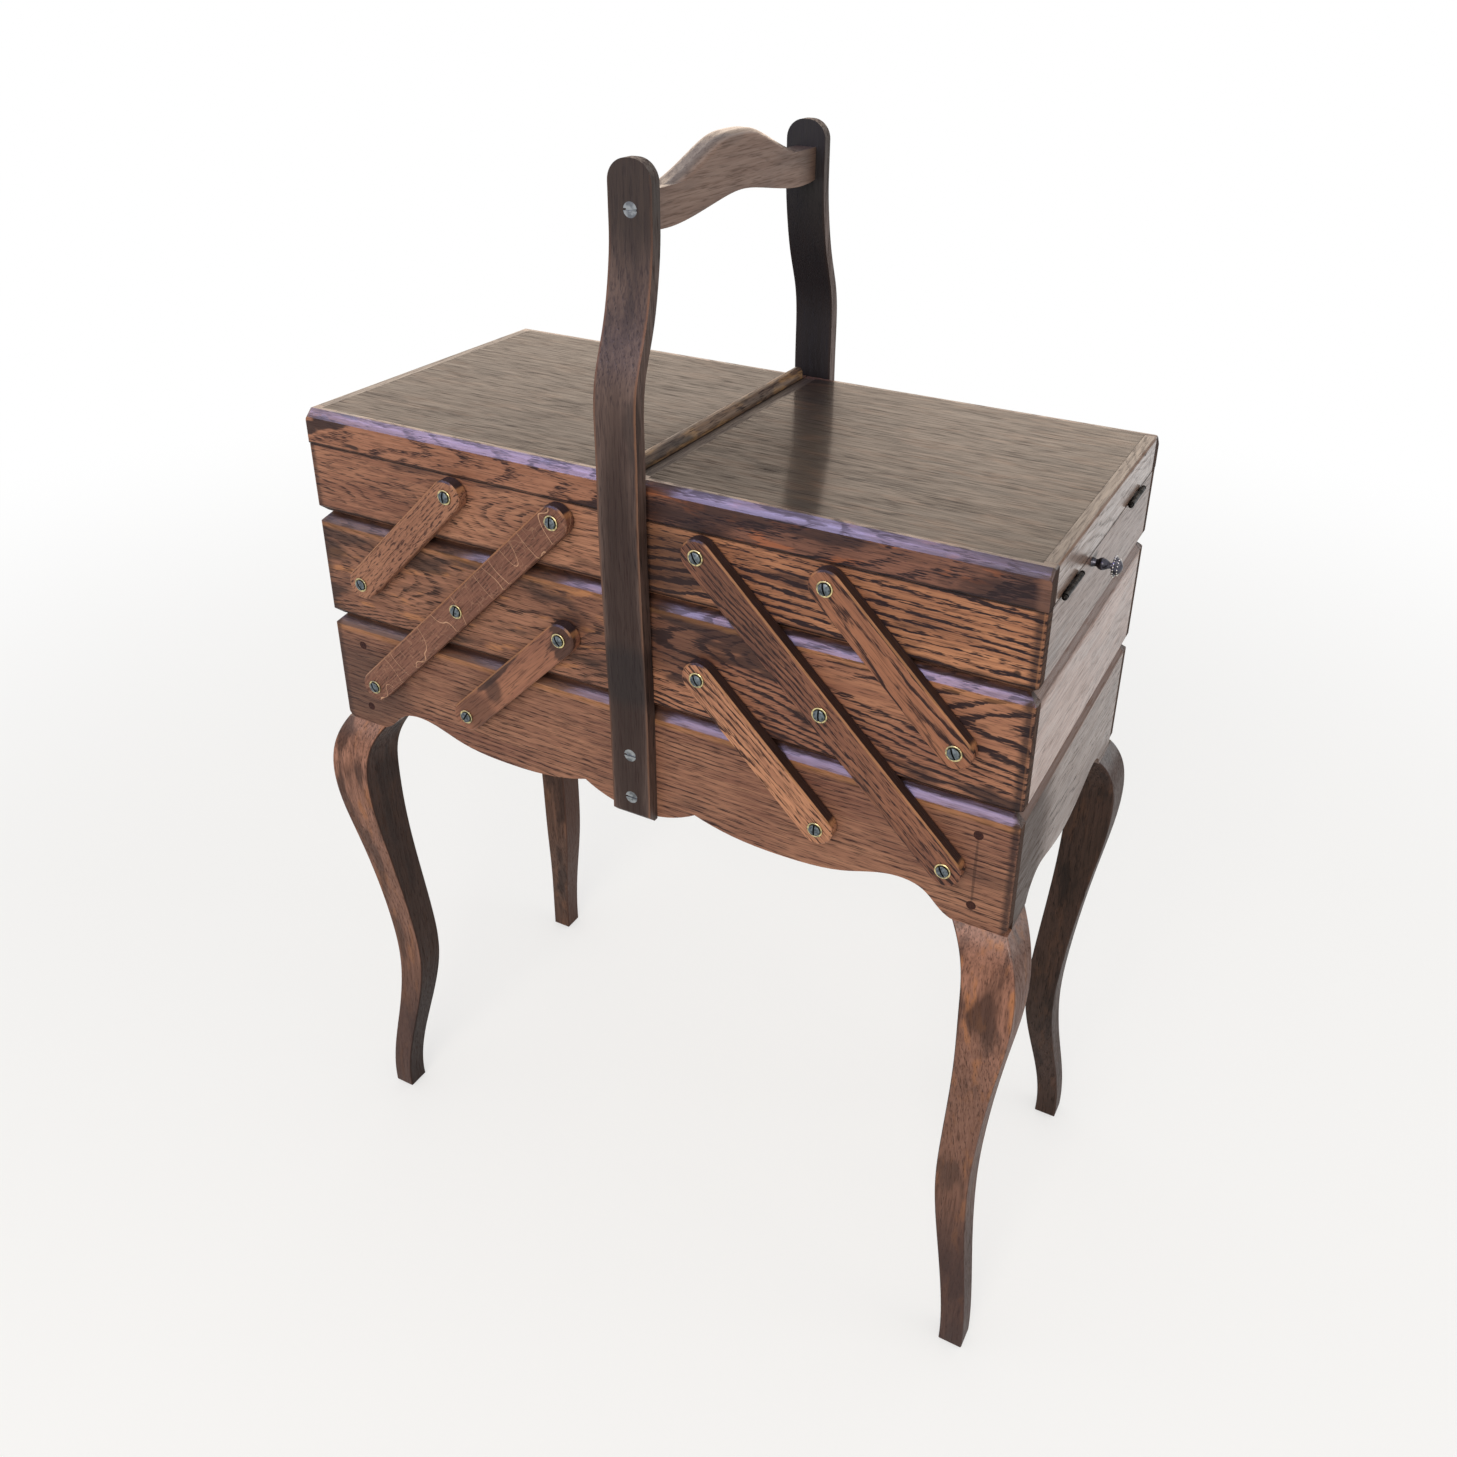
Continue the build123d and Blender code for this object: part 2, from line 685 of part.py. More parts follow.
# Lids: a framed panel, flush on top, with chamfered long edges and a rounded outer end
with BuildPart() as lid_block:
    slab((inner_end, -half_depth, lid_bottom), (half_length, half_depth, lid_top))
    long_edges = lid_block.faces().sort_by(Axis.Z)[-1].edges().filter_by(Axis.X)
    chamfer(long_edges, lid_chamfer)
    outer_edges = lid_block.faces().sort_by(Axis.X)[-1].edges().filter_by(Axis.Z, reverse=True)
    fillet(outer_edges.filter_by(lambda edge: edge.center().Z > lid_bottom + corner_round), lid_end_round)
rail_end = half_length - lid_rail
rail_side = half_depth - lid_rail


def lid_recess(mode, gap=0.0):
    """Space that the panel fills, let into the rails."""
    low = (inner_end + lid_rail - lid_rebate + gap, gap - rail_side - lid_rebate, lid_top - lid_sheet)
    slab(low, (rail_end + lid_rebate - gap, rail_side + lid_rebate - gap, lid_top), mode=mode)


with BuildPart() as lid_panel:
    lid_recess(Mode.ADD, fit_gap)
save_both_sides(lid_panel, "lid_panel")

with BuildPart() as lid_long_rails:
    add(lid_block.part)
    passing_corners = lid_long_rails.faces().sort_by(Axis.X)[0].edges().filter_by(Axis.Z)
    chamfer(passing_corners, lid_corner_ease)
    slab((0, -rail_side, lid_bottom), (half_length, rail_side, lid_top), mode=Mode.SUBTRACT)
    lid_recess(Mode.SUBTRACT)
save_both_sides(lid_long_rails, "lid_long_rails")

with BuildPart() as lid_end_rails:
    add(lid_block.part)
    slab((inner_end, -rail_side, lid_bottom), (half_length, rail_side, lid_top), mode=Mode.INTERSECT)
    slab((inner_end + lid_rail, -rail_side, lid_bottom), (rail_end, rail_side, lid_top), mode=Mode.SUBTRACT)
    lid_recess(Mode.SUBTRACT)
    hinge_mortises(lid_bottom, lid_bottom + hinge_leaf + fit_gap)
save_both_sides(lid_end_rails, "lid_end_rails")

with BuildPart() as lid_centre_strip:
    strip_middle = -inner_end - strip_width / 2
    with BuildSketch(Plane.XZ):
        with Locations((strip_middle, lid_top + strip_edge)):
            Circle(strip_width / 2)
        with Locations((strip_middle, lid_top + strip_edge / 2)):
            Rectangle(strip_width, strip_edge)
        with Locations((strip_middle, lid_top - strip_width / 2)):
            Rectangle(2 * strip_width, strip_width, mode=Mode.SUBTRACT)
    extrude(amount=half_depth, both=True)
    with BuildSketch(Plane.XY.offset(lid_top)):
        with Locations((strip_middle, 0)):
            SlotOverall(box_depth - 2 * strip_inset, strip_width, rotation=90)
    extrude(amount=strip_edge + strip_width, mode=Mode.INTERSECT)
save(lid_centre_strip, "lid_centre_strip")


# Lifting arms: flat bars with round ends, one in front of the trays and one behind them
def arm_pair(start, end, holes):
    """Front arm between two pivots with its chamfered edges, and its rear twin."""
    across = end[0] - start[0]
    rise = end[1] - start[1]
    middle = ((start[0] + end[0]) / 2, (start[1] + end[1]) / 2)
    with BuildPart() as arms:
        with BuildSketch(Plane.XZ.offset(half_depth + arm_side_gap)):
            with Locations(middle):
                SlotCenterToCenter(hypot(across, rise), arm_width, rotation=degrees(atan2(rise, across)))
        extrude(amount=arm_thickness)
        chamfer(arms.faces().filter_by(Axis.Y).edges(), arm_edge)
        with BuildSketch(Plane.XZ.offset(half_depth)):
            with Locations(*holes):
                Circle(pivot_shank + running_gap)
        extrude(amount=2 * arm_thickness, mode=Mode.SUBTRACT)
        mirror(about=Plane.XZ)
    return arms


low_outer = (outer_pivot, low_pivot)
low_middle = (middle_pivot, low_pivot)
mid_centre = (centre_pivot, mid_pivot)
mid_middle = (middle_pivot, mid_pivot)
mid_outer = (outer_pivot, mid_pivot)
high_centre = (centre_pivot, high_pivot)
high_middle = (middle_pivot, high_pivot)
save_both_sides(arm_pair(low_outer, high_centre, [low_outer, mid_middle, high_centre]), "long_arms")
save_both_sides(arm_pair(mid_outer, high_middle, [mid_outer, high_middle]), "upper_short_arms")
save_both_sides(arm_pair(low_middle, mid_centre, [low_middle, mid_centre]), "lower_short_arms")
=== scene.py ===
"""Dark oak cantilever sewing box on cabriole legs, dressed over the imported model. Sizes are in
millimetres unless said."""

import bmesh
import bpy
import numpy as np
from mathutils import Matrix, Vector


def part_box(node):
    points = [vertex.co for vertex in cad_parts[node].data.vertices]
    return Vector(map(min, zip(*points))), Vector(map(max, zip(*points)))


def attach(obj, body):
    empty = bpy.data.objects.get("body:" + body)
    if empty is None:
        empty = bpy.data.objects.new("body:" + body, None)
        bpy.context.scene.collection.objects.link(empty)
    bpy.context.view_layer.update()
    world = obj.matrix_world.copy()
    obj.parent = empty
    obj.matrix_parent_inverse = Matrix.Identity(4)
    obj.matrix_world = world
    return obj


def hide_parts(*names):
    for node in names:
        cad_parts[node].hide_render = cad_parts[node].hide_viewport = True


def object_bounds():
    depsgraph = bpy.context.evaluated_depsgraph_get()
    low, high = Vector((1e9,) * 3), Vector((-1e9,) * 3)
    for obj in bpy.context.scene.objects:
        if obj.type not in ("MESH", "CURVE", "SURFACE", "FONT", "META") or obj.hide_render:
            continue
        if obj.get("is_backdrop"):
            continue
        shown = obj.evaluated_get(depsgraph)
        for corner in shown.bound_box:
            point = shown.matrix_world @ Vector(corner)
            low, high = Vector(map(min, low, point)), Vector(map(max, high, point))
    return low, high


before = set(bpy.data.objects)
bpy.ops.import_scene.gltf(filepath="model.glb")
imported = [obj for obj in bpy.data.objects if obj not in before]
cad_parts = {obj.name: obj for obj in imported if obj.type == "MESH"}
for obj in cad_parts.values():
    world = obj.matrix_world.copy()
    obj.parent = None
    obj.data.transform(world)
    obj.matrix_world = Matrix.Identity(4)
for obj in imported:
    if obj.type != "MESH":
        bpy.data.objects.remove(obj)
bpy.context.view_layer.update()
scene = bpy.context.scene
scene.view_settings.view_transform = "Standard"


# Camera. It looks down on the front right corner from a little above the handle's height. Its
# place, turn and focal length come from a fit to the box's corners and pivots.
def aim(eye, azimuth, elevation, roll):
    """Camera matrix: the view axis from azimuth and elevation, then turned about itself by the
    roll."""
    a, e, r = np.radians([azimuth, elevation, roll])
    right = np.array([np.cos(a), np.sin(a), 0.0])
    back = np.array([np.sin(a) * np.cos(e), -np.cos(a) * np.cos(e), np.sin(e)])
    up = np.cross(back, right)
    matrix = np.eye(4)
    matrix[:3, 0] = np.cos(r) * right + np.sin(r) * up
    matrix[:3, 1] = np.cos(r) * up - np.sin(r) * right
    matrix[:3, 2], matrix[:3, 3] = back, eye
    return Matrix(matrix.tolist())


lens = bpy.data.cameras.new("camera")
camera = bpy.data.objects.new("camera", lens)
scene.collection.objects.link(camera)
scene.camera = camera
camera.matrix_world = aim(np.array([390.4, -704.8, 878.3]) / 1000, 26.8, 26.7, 1.2)
image, focal, middle_x, middle_y = 1457, 1297.7, 773.0, 600.0  # pixels
lens.sensor_width = 36.0
lens.lens = 36.0 * focal / image
lens.shift_x = (image / 2 - middle_x) / image
lens.shift_y = (middle_y - image / 2) / image
lens.clip_start, lens.clip_end = 0.05, 60.0


# Studio. A pale floor and a white surround, with four soft lamps. Two of them only show as gloss:
# a lilac one in the front chamfers, as an evening sky would, and a warm one in the lids.
def linear(code):
    """An sRGB hex colour as linear RGBA: each channel over 255, then the sRGB curve undone."""
    c = np.array([int(code[i:i + 2], 16) for i in (1, 3, 5)]) / 255
    c = np.where(c <= 0.04045, c / 12.92, ((c + 0.055) / 1.055) ** 2.4)
    return (*c.tolist(), 1.0)


def put(tree, kind, inputs=None, **settings):
    """Adds a shader node with its settings. An input takes a value, a socket, or a node, whose
    first output is linked. In a MapRange, inputs 1 and 2 are the range that comes in, and 3 and 4
    the range that goes out. In a Mix, 0 is the share, 2 and 3 are numbers, 6 and 7 colours."""
    made = tree.nodes.new("ShaderNode" + kind)
    for key, value in settings.items():
        setattr(made, key, value)
    for key, value in (inputs or {}).items():
        if isinstance(value, bpy.types.Node):
            value = next(socket for socket in value.outputs if socket.enabled)
        if isinstance(value, bpy.types.NodeSocket):
            tree.links.new(value, made.inputs[key])
        else:
            made.inputs[key].default_value = value
    return made


def blank(owner):
    """The emptied node tree of a material or world."""
    owner.use_nodes = True
    owner.node_tree.nodes.clear()
    return owner.node_tree


def by_eye(tree):
    """1 for a ray that the eye sees, straight, mirrored or through glass, and 0 for one that only
    carries light."""
    rays = put(tree, "LightPath").outputs
    seen = put(tree, "Math", {0: rays["Is Camera Ray"], 1: rays["Is Glossy Ray"]},
               operation="MAXIMUM")
    return put(tree, "Math", {0: seen, 1: rays["Is Transmission Ray"]}, operation="MAXIMUM")


world = bpy.data.worlds.new("studio")
scene.world = world
tree = blank(world)
soft = put(tree, "Background", {"Color": linear("#fbf9f6"), "Strength": 0.66})
white = put(tree, "Background", {"Color": (1, 1, 1, 1), "Strength": 1.0})
shown = put(tree, "MixShader", {0: by_eye(tree), 1: soft, 2: white})
put(tree, "OutputWorld", {"Surface": shown})

reach = np.linspace(-30.0, 30.0, 3)  # metres
points = np.stack([*np.meshgrid(reach, reach, indexing="ij"), np.zeros((3, 3))], -1)
n = np.arange(9).reshape(3, 3)
quads = np.stack([n[:-1, :-1], n[1:, :-1], n[1:, 1:], n[:-1, 1:]], -1)
floor_mesh = bpy.data.meshes.new("floor")
floor_mesh.from_pydata(points.reshape(-1, 3).tolist(), [], quads.reshape(-1, 4).tolist())
floor = bpy.data.objects.new("floor", floor_mesh)
scene.collection.objects.link(floor)
floor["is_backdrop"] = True

# The paper fades to pure white within two metres, so that no line shows where it ends.
paper = bpy.data.materials.new("white_paper_floor")
tree = blank(paper)
away = put(tree, "VectorMath", {0: put(tree, "TexCoord").outputs["Object"]}, operation="LENGTH")
fade = put(tree, "MapRange", {"Value": away, 1: 0.6, 2: 2.0, 3: 0.6},
           interpolation_type="SMOOTHSTEP")
fade = put(tree, "Math", {0: fade, 1: by_eye(tree)}, operation="MULTIPLY")
matt = put(tree, "BsdfDiffuse", {"Color": linear("#f5f5f4")})
bright = put(tree, "Emission", {"Color": (1, 1, 1, 1), "Strength": 1.0})
put(tree, "OutputMaterial", {"Surface": put(tree, "MixShader", {0: fade, 1: matt, 2: bright})})
floor_mesh.materials.append(paper)

# Each lamp's direction, distance, width and height in metres, watts, colour and whether it lights
# matt surfaces.
for name, towards, distance, wide, high, power, colour, lights in (
    ("sky_lamp", (-0.42, -0.46, 0.80), 2.4, 2.8, 0.9, 78.0, "#bfb8f8", False),
    ("front_lamp", (0.20, -1.0, 0.50), 3.0, 1.6, 1.6, 40.0, "#fff7ec", True),
    ("side_lamp", (1.0, 0.15, 0.55), 3.0, 1.6, 1.6, 10.0, "#fffaf4", True),
    ("back_lamp", (-0.42, 0.82, 0.36), 2.5, 3.4, 2.0, 20.0, "#ffd09a", False),
):
    light = bpy.data.lights.new(name, "AREA")
    light.shape, light.size, light.size_y = "RECTANGLE", wide, high
    light.energy, light.color = power, linear(colour)[:3]
    lamp = bpy.data.objects.new(name, light)
    scene.collection.objects.link(lamp)
    direction = Vector(towards).normalized()
    lamp.location = Vector((0, 0, 0.5)) + direction * distance
    lamp.rotation_euler = direction.to_track_quat("Z", "Y").to_euler()
    lamp.visible_camera = False
    lamp.visible_diffuse = lights


# Oak. Every board is oak, stained dark and waxed. Stain sinks into the pores of the early wood, so
# each ring shows as a ragged dark line that breaks into short dashes, and rubbed edges turn orange.
def oak(name, along, across, centre, light, mid, dark, ring=4.2, pith=(12, 40), taper=0.1,
        warp=9.0, lines=0.9, pores=2.0, uneven=0.5, smoke=(0.3, 0.52, 0.68), grit=(7, 0.7),
        sharp=(0.22, 0.6), rough=0.42, shine=0.25, coat=0.0, polish=0.2, top=1.0, seed=0.0,
        edges=(), marks=(), patches=(), sides=(), flecks=0.0, rounded=None):
    """Solid wood. The distance from the pith, bent by slow noise, over the ring width gives the
    rings. Their early part, plus thin noise along the grain, passes a threshold where stain has
    filled the pores. Tints follow in layers: patches by noise, edges and marks by their place, and
    sides by the way they face; the calls use some of these for painted shade and a painted
    reflection. A coat of wax lies all over, but for a factor top on the chamfers. Without a coat,
    wax of strength top lies on what faces up. Polish is its roughness. Veins, edge bands and marks
    thin it. A rounded chamfer gets a height that falls with the square of the distance from its
    crest, over its bend."""
    smooth = {"interpolation_type": "SMOOTHSTEP"}
    material = bpy.data.materials.new(name)
    tree = blank(material)
    place = put(tree, "TexCoord")
    here, facing = place.outputs["Object"], place.outputs["Normal"]
    spot, normal = put(tree, "SeparateXYZ", {0: here}), put(tree, "SeparateXYZ", {0: facing})
    turn = Matrix((Vector(along), Vector(across), Vector(along).cross(Vector(across))))
    grain = put(tree, "Mapping", {"Vector": here, "Location": -(turn @ Vector(centre)),
                                  "Rotation": turn.to_euler("XYZ"), "Scale": (1000, 1000, 1000)})

    # Sizes along the grain and across it. Real pores, about 0.3 mm wide, are too fine to show here,
    # so the grit draws them 0.55 to 0.8 mm wide.
    noise, mask = {}, {}
    for key, size, detail in (
        ("drift", (120, 46, 46), 2.0), ("ragged", (14, 3.0, 3.0), 3.0),
        ("strength", (120, 22, 22), 1.0), ("pore", (grit[0], grit[1], grit[1]), 1.6),
        ("streak", (60, 1.9, 1.9), 3.0), ("cloud", (80, 30, 30), 2.0), ("haze", (60, 16, 16), 4.0),
        ("rub", (26, 7, 7), 4.0), ("rag", (9, 2.4, 2.4), 3.0), ("fine", (17, 0.8, 0.8), 1.0),
    ):
        shift = (seed + 3.1 * len(noise), 1.7 * seed + 2.3 * len(noise), 1.9 * len(noise))
        stretched = put(tree, "Mapping", {"Vector": grain, "Location": shift,
                                          "Scale": [1 / s for s in size]})
        noise[key] = put(tree, "TexNoise", {"Vector": stretched, "Scale": 1.0, "Detail": detail})
    for key, low, high, least, most in (
        ("strength", 0.36, 0.6, 1.0 - uneven, 1.0), ("streak", 0.32, 0.68, 0.0, 1.0),
        ("cloud", 0.3, 0.7, 0.0, 0.5), ("fine", 0.5, 0.74, 0.0, 0.55),
        ("haze", smoke[1], smoke[2], 0.0, smoke[0]),
    ):
        mask[key] = put(tree, "MapRange", {"Value": noise[key], 1: low, 2: high, 3: least, 4: most},
                        **smooth)

    # Rings and veins. A ring is ragged by 0.6 of its width. Its early wood starts within 12 % of
    # it and fades out between 20 and 70 %.
    drift = put(tree, "VectorMath", {0: noise["drift"].outputs["Color"], 1: (0.5, 0.5, 0.5)},
                operation="SUBTRACT")
    drift = put(tree, "VectorMath", {0: drift, "Scale": 2 * warp}, operation="SCALE")
    bent = put(tree, "VectorMath", {0: grain, 1: drift}, operation="ADD")
    bent = put(tree, "VectorMath", {0: bent, 1: (0, 1, 1), 2: (0, *pith)},
               operation="MULTIPLY_ADD")
    radius = put(tree, "VectorMath", {0: bent}, operation="LENGTH")
    radius = put(tree, "Math", {0: put(tree, "SeparateXYZ", {0: grain}), 1: taper, 2: radius},
                 operation="MULTIPLY_ADD")
    rings = put(tree, "Math", {0: radius, 1: ring}, operation="DIVIDE")
    rings = put(tree, "Math", {0: noise["ragged"], 1: 0.6, 2: rings}, operation="MULTIPLY_ADD")
    rings = put(tree, "Math", {0: rings}, operation="FRACT")
    rise = put(tree, "MapRange", {"Value": rings, 1: 0.0, 2: 0.12}, **smooth)
    fall = put(tree, "MapRange", {"Value": rings, 1: 0.2, 2: 0.7, 3: 1.0, 4: 0.0}, **smooth)
    early = put(tree, "Math", {0: rise, 1: fall}, operation="MULTIPLY")
    early = put(tree, "Math", {0: early, 1: mask["strength"]}, operation="MULTIPLY")
    fill = put(tree, "Math", {0: noise["pore"], 1: 0.5}, operation="SUBTRACT")
    fill = put(tree, "Math", {0: fill, 1: pores}, operation="MULTIPLY")
    fill = put(tree, "Math", {0: early, 1: lines, 2: fill}, operation="MULTIPLY_ADD")
    veins = put(tree, "MapRange", {"Value": fill, 1: sharp[0], 2: sharp[1]}, **smooth)

    # Tints, each with its share. Streaks, fine lines, edge bands and marks also lose wax.
    tone = put(tree, "Math", {0: mask["streak"], 1: 0.5, 2: mask["cloud"]},
               operation="MULTIPLY_ADD", use_clamp=True)
    layers = [(mask["fine"], dark)]
    for hue, low, high, amount in patches:
        rubbed = put(tree, "MapRange", {"Value": noise["rub"], 1: low, 2: high, 4: amount},
                     **smooth)
        layers.append((rubbed, hue))
    layers += [(mask["haze"], dark), (veins, dark)]
    flecked = (((15, 40, 16), 0.007, flecks), ((4.5, 7, 6), 0.03, 0.2 * flecks)) if flecks else ()
    for size, width, amount in flecked:
        ray = put(tree, "Mapping", {"Vector": grain, "Rotation": (0, 0, 0.6),
                                    "Scale": [1 / s for s in size]})
        ray = put(tree, "TexNoise", {"Vector": ray, "Scale": 1.0, "Detail": 0.0})
        ray = put(tree, "Math", {0: ray, 1: 0.54}, operation="SUBTRACT")
        ray = put(tree, "Math", {0: ray}, operation="ABSOLUTE")
        ray = put(tree, "MapRange", {"Value": ray, 1: 0.2 * width, 2: width, 3: amount, 4: 0.0},
                  **smooth)
        layers.append((ray, "#c39a7c"))
    streak_loss, fine_loss, mark_loss = -0.3, -0.5, -0.8
    kept = put(tree, "Math", {0: mask["streak"], 1: streak_loss, 2: 1.0},
               operation="MULTIPLY_ADD")
    kept = put(tree, "Math", {0: mask["fine"], 1: fine_loss, 2: kept},
               operation="MULTIPLY_ADD")
    for axis, at, reach, hue, amount in edges:
        at, reach = at / 1000, reach / 1000
        gap = put(tree, "Math", {0: spot.outputs[axis], 1: at}, operation="SUBTRACT")
        gap = put(tree, "Math", {0: gap}, operation="ABSOLUTE")
        gap = put(tree, "Math", {0: gap, 1: 0.5 * reach}, operation="ADD")
        gap = put(tree, "Math", {0: noise["rag"], 1: -reach, 2: gap}, operation="MULTIPLY_ADD")
        near = put(tree, "MapRange", {"Value": gap, 1: 0.2 * reach, 2: reach, 3: amount, 4: 0.0})
        flat = put(tree, "Math", {0: normal.outputs[axis]}, operation="ABSOLUTE")
        flat = put(tree, "MapRange", {"Value": flat, 1: 0.8, 2: 0.95, 3: 1.0, 4: 0.0})
        near = put(tree, "Math", {0: near, 1: flat}, operation="MULTIPLY")
        kept = put(tree, "Math", {0: kept, 1: near}, operation="SUBTRACT", use_clamp=True)
        layers.append((near, hue))
    for middle, size, hue, amount in marks:
        gap = put(tree, "VectorMath", {0: here, 1: [m / 1000 for m in middle]},
                  operation="SUBTRACT")
        gap = put(tree, "VectorMath", {0: gap, 1: [1000 / s for s in size]}, operation="MULTIPLY")
        gap = put(tree, "VectorMath", {0: gap}, operation="LENGTH")
        near = put(tree, "MapRange", {"Value": gap, 1: 0.5, 2: 1.0, 3: amount, 4: 0.0}, **smooth)
        kept = put(tree, "Math", {0: near, 1: mark_loss, 2: kept}, operation="MULTIPLY_ADD",
                   use_clamp=True)
        layers.append((near, hue))
    for axis, low, high, hue, amount in sides:
        lean = put(tree, "VectorMath", {0: facing, 1: axis}, operation="DOT_PRODUCT")
        lean = put(tree, "MapRange", {"Value": lean, 1: low, 2: high, 4: amount}, **smooth)
        layers.append((lean, hue))
    colour = put(tree, "Mix", {0: tone, 6: linear(light), 7: linear(mid)}, data_type="RGBA")
    for share, hue in layers:
        colour = put(tree, "Mix", {0: share, 6: colour, 7: linear(hue)}, data_type="RGBA")

    # Surface. Veins, streaks, fine lines and sawn end grain are rougher, rounded chamfers are
    # smoother, and the veins lie slightly sunk.
    on_veins, on_streaks, on_fine, on_sawn, on_chamfer = 0.25, 0.1, 0.4, 0.45, -0.17
    surface = put(tree, "MapRange", {"Value": veins, 3: rough, 4: rough + on_veins})
    surface = put(tree, "Math", {0: mask["streak"], 1: on_streaks, 2: surface},
                  operation="MULTIPLY_ADD")
    sawn = put(tree, "VectorMath", {0: facing, 1: along}, operation="DOT_PRODUCT")
    sawn = put(tree, "Math", {0: sawn}, operation="ABSOLUTE")
    sawn = put(tree, "MapRange", {"Value": sawn, 1: 0.7, 2: 0.95, 4: on_sawn})
    surface = put(tree, "Math", {0: surface, 1: sawn}, operation="ADD", use_clamp=True)
    surface = put(tree, "Math", {0: mask["fine"], 1: on_fine, 2: surface},
                  operation="MULTIPLY_ADD", use_clamp=True)
    sunk = put(tree, "Bump", {"Strength": 0.15 if coat else 0.4, "Distance": 0.0004,
                              "Height": veins}, invert=True)

    # Wax. It is thinner over the veins, and goes by the z of the normal: 0 on a side, 0.7 on a
    # chamfer and 1 on a level top.
    full, upright, flat_top = coat or 1.0, 1.0 if coat else 0.0, 1.0 if coat else top
    bare = put(tree, "MapRange", {"Value": veins, 3: full, 4: 0.4 * full})
    upward = put(tree, "MapRange", {"Value": normal.outputs[2], 1: 0.3, 2: 0.55, 3: upright,
                                    4: top}, **smooth)
    level = put(tree, "MapRange", {"Value": normal.outputs[2], 1: 0.85, 2: 0.97}, **smooth)
    upward = put(tree, "Mix", {0: level, 2: upward, 3: flat_top})
    gloss = put(tree, "Math", {0: upward, 1: bare}, operation="MULTIPLY")
    gloss = put(tree, "Math", {0: gloss, 1: kept}, operation="MULTIPLY")
    if rounded:
        crest, bend = rounded
        crown = put(tree, "Math", {0: spot.outputs[2], 1: crest / 1000}, operation="SUBTRACT")
        crown = put(tree, "Math", {0: crown, 1: crown}, operation="MULTIPLY")
        tilted = put(tree, "MapRange", {"Value": normal.outputs[2], 1: 0.4, 2: 0.6,
                                        4: -1000 / bend})
        crown = put(tree, "Math", {0: crown, 1: tilted}, operation="MULTIPLY")
        glazed = put(tree, "MapRange", {"Value": normal.outputs[2], 1: 0.4, 2: 0.6,
                                        4: on_chamfer})
        surface = put(tree, "Math", {0: surface, 1: glazed}, operation="ADD", use_clamp=True)
        sunk = put(tree, "Bump", {"Strength": 1.0, "Distance": 1.0, "Height": crown,
                                  "Normal": sunk})
    skin = put(tree, "BsdfPrincipled", {
        "Base Color": colour, "Roughness": surface, "Normal": sunk, "IOR": 1.5,
        "Specular IOR Level": shine, "Coat Roughness": polish, "Coat IOR": 1.5,
        "Coat Weight": gloss})
    put(tree, "OutputMaterial", {"Surface": skin})
    return material


def finish_with(material, *nodes):
    """Gives CAD nodes one material in every slot."""
    for name in nodes:
        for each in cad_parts[name].material_slots:
            each.material = material


# Base. Two long panels over two end panels, of plainer straight oak with fine pores. Two dowels pin
# each joint, and a faint line runs between them on the right. Chamfers, end grain and the left end
# have taken more stain. All floors are plain pale sheets.
def span(node, axis):
    """Where a CAD node begins and ends along an axis, in mm."""
    low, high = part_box(node)
    return 1000 * low[axis], 1000 * high[axis]


x, y, z = (1, 0, 0), (0, 1, 0), (0, 0, 1)
half_length, base_top = span("base_front_panel", 0)[1], span("base_front_panel", 2)[1]
rim_chamfer, rim_bend = 7.0, 6.5
base_round = (base_top - rim_chamfer / 2, rim_bend)
worked = ((z, 0.35, 0.6, "#3b2824", 0.6),
          *[((s, 0, 0), 0.6, 0.9, "#30221c", 0.88) for s in (1, -1)])
base_front = oak(
    "base_panel_oak", x, z, (0, -120, 410), "#9a6e56", "#6f483a", "#2e1b17", ring=3.0,
    pith=(80, 60), taper=0.015, warp=5, lines=0.5, pores=2.1, smoke=(0.4, 0.54, 0.7),
    grit=(9, 0.55), sharp=(0.1, 0.78), seed=1.0, sides=worked, rounded=base_round,
    marks=(((228, -120, 407), (1.2, 9, 34), "#2a1813", 0.5),
           ((-236, -121, 400), (62, 12, 46), "#33231f", 0.6)),
    # The dark band 2.7 mm under the top, high on the chamfer, is painted shade under the tray
    # above.
    edges=((2, base_top - 8.5, 3.5, "#b07a4c", 0.4), (2, base_top - 2.7, 1.6, "#20120f", 0.75),
           (0, half_length - 2.5, 3.5, "#1d1010", 0.75),
           (0, 2.5 - half_length, 3.5, "#1d1010", 0.6)))
finish_with(base_front, "base_front_panel", "base_rear_panel")
base_end = oak(
    "base_end_oak", y, z, (250, 0, 410), "#735c50", "#604b41", "#33251f", ring=3.0, pith=(30, 40),
    taper=0.06, lines=0.4, pores=1.4, smoke=(0.2, 0.5, 0.7), rough=0.5, shine=0.4, coat=0.6,
    top=0.1, seed=2.0, edges=((2, base_top - 5.5, 4, "#8a6040", 0.4),),
    sides=((z, 0.4, 0.6, "#5e4032", 0.9),), rounded=base_round,
    marks=[((s * (half_length - 0.5), -124, 400), (30, 92, 150), "#3d2d25", 1.0)
           for s in (1, -1)])
finish_with(base_end, "base_left_end", "base_right_end")
sheet = oak(
    "plain_sheet_oak", x, y, (0, 0, 392), "#b08a62", "#98724c", "#6a4a32", ring=3.4, lines=0.4,
    pores=1.4, smoke=(0, 0.5, 0.7), rough=0.6, coat=0.02, seed=3.0)
finish_with(sheet, "base_floor", *[f"{side}_{tier}_tray_floor" for side in ("left", "right")
                                   for tier in ("mid", "top")])
peg = oak("dark_dowel_end_grain", y, z, (0, 0, 400), "#44271f", "#2c1813", "#140b0a", ring=1.2,
          lines=0.4, seed=4.0)
finish_with(peg, "base_pegs")
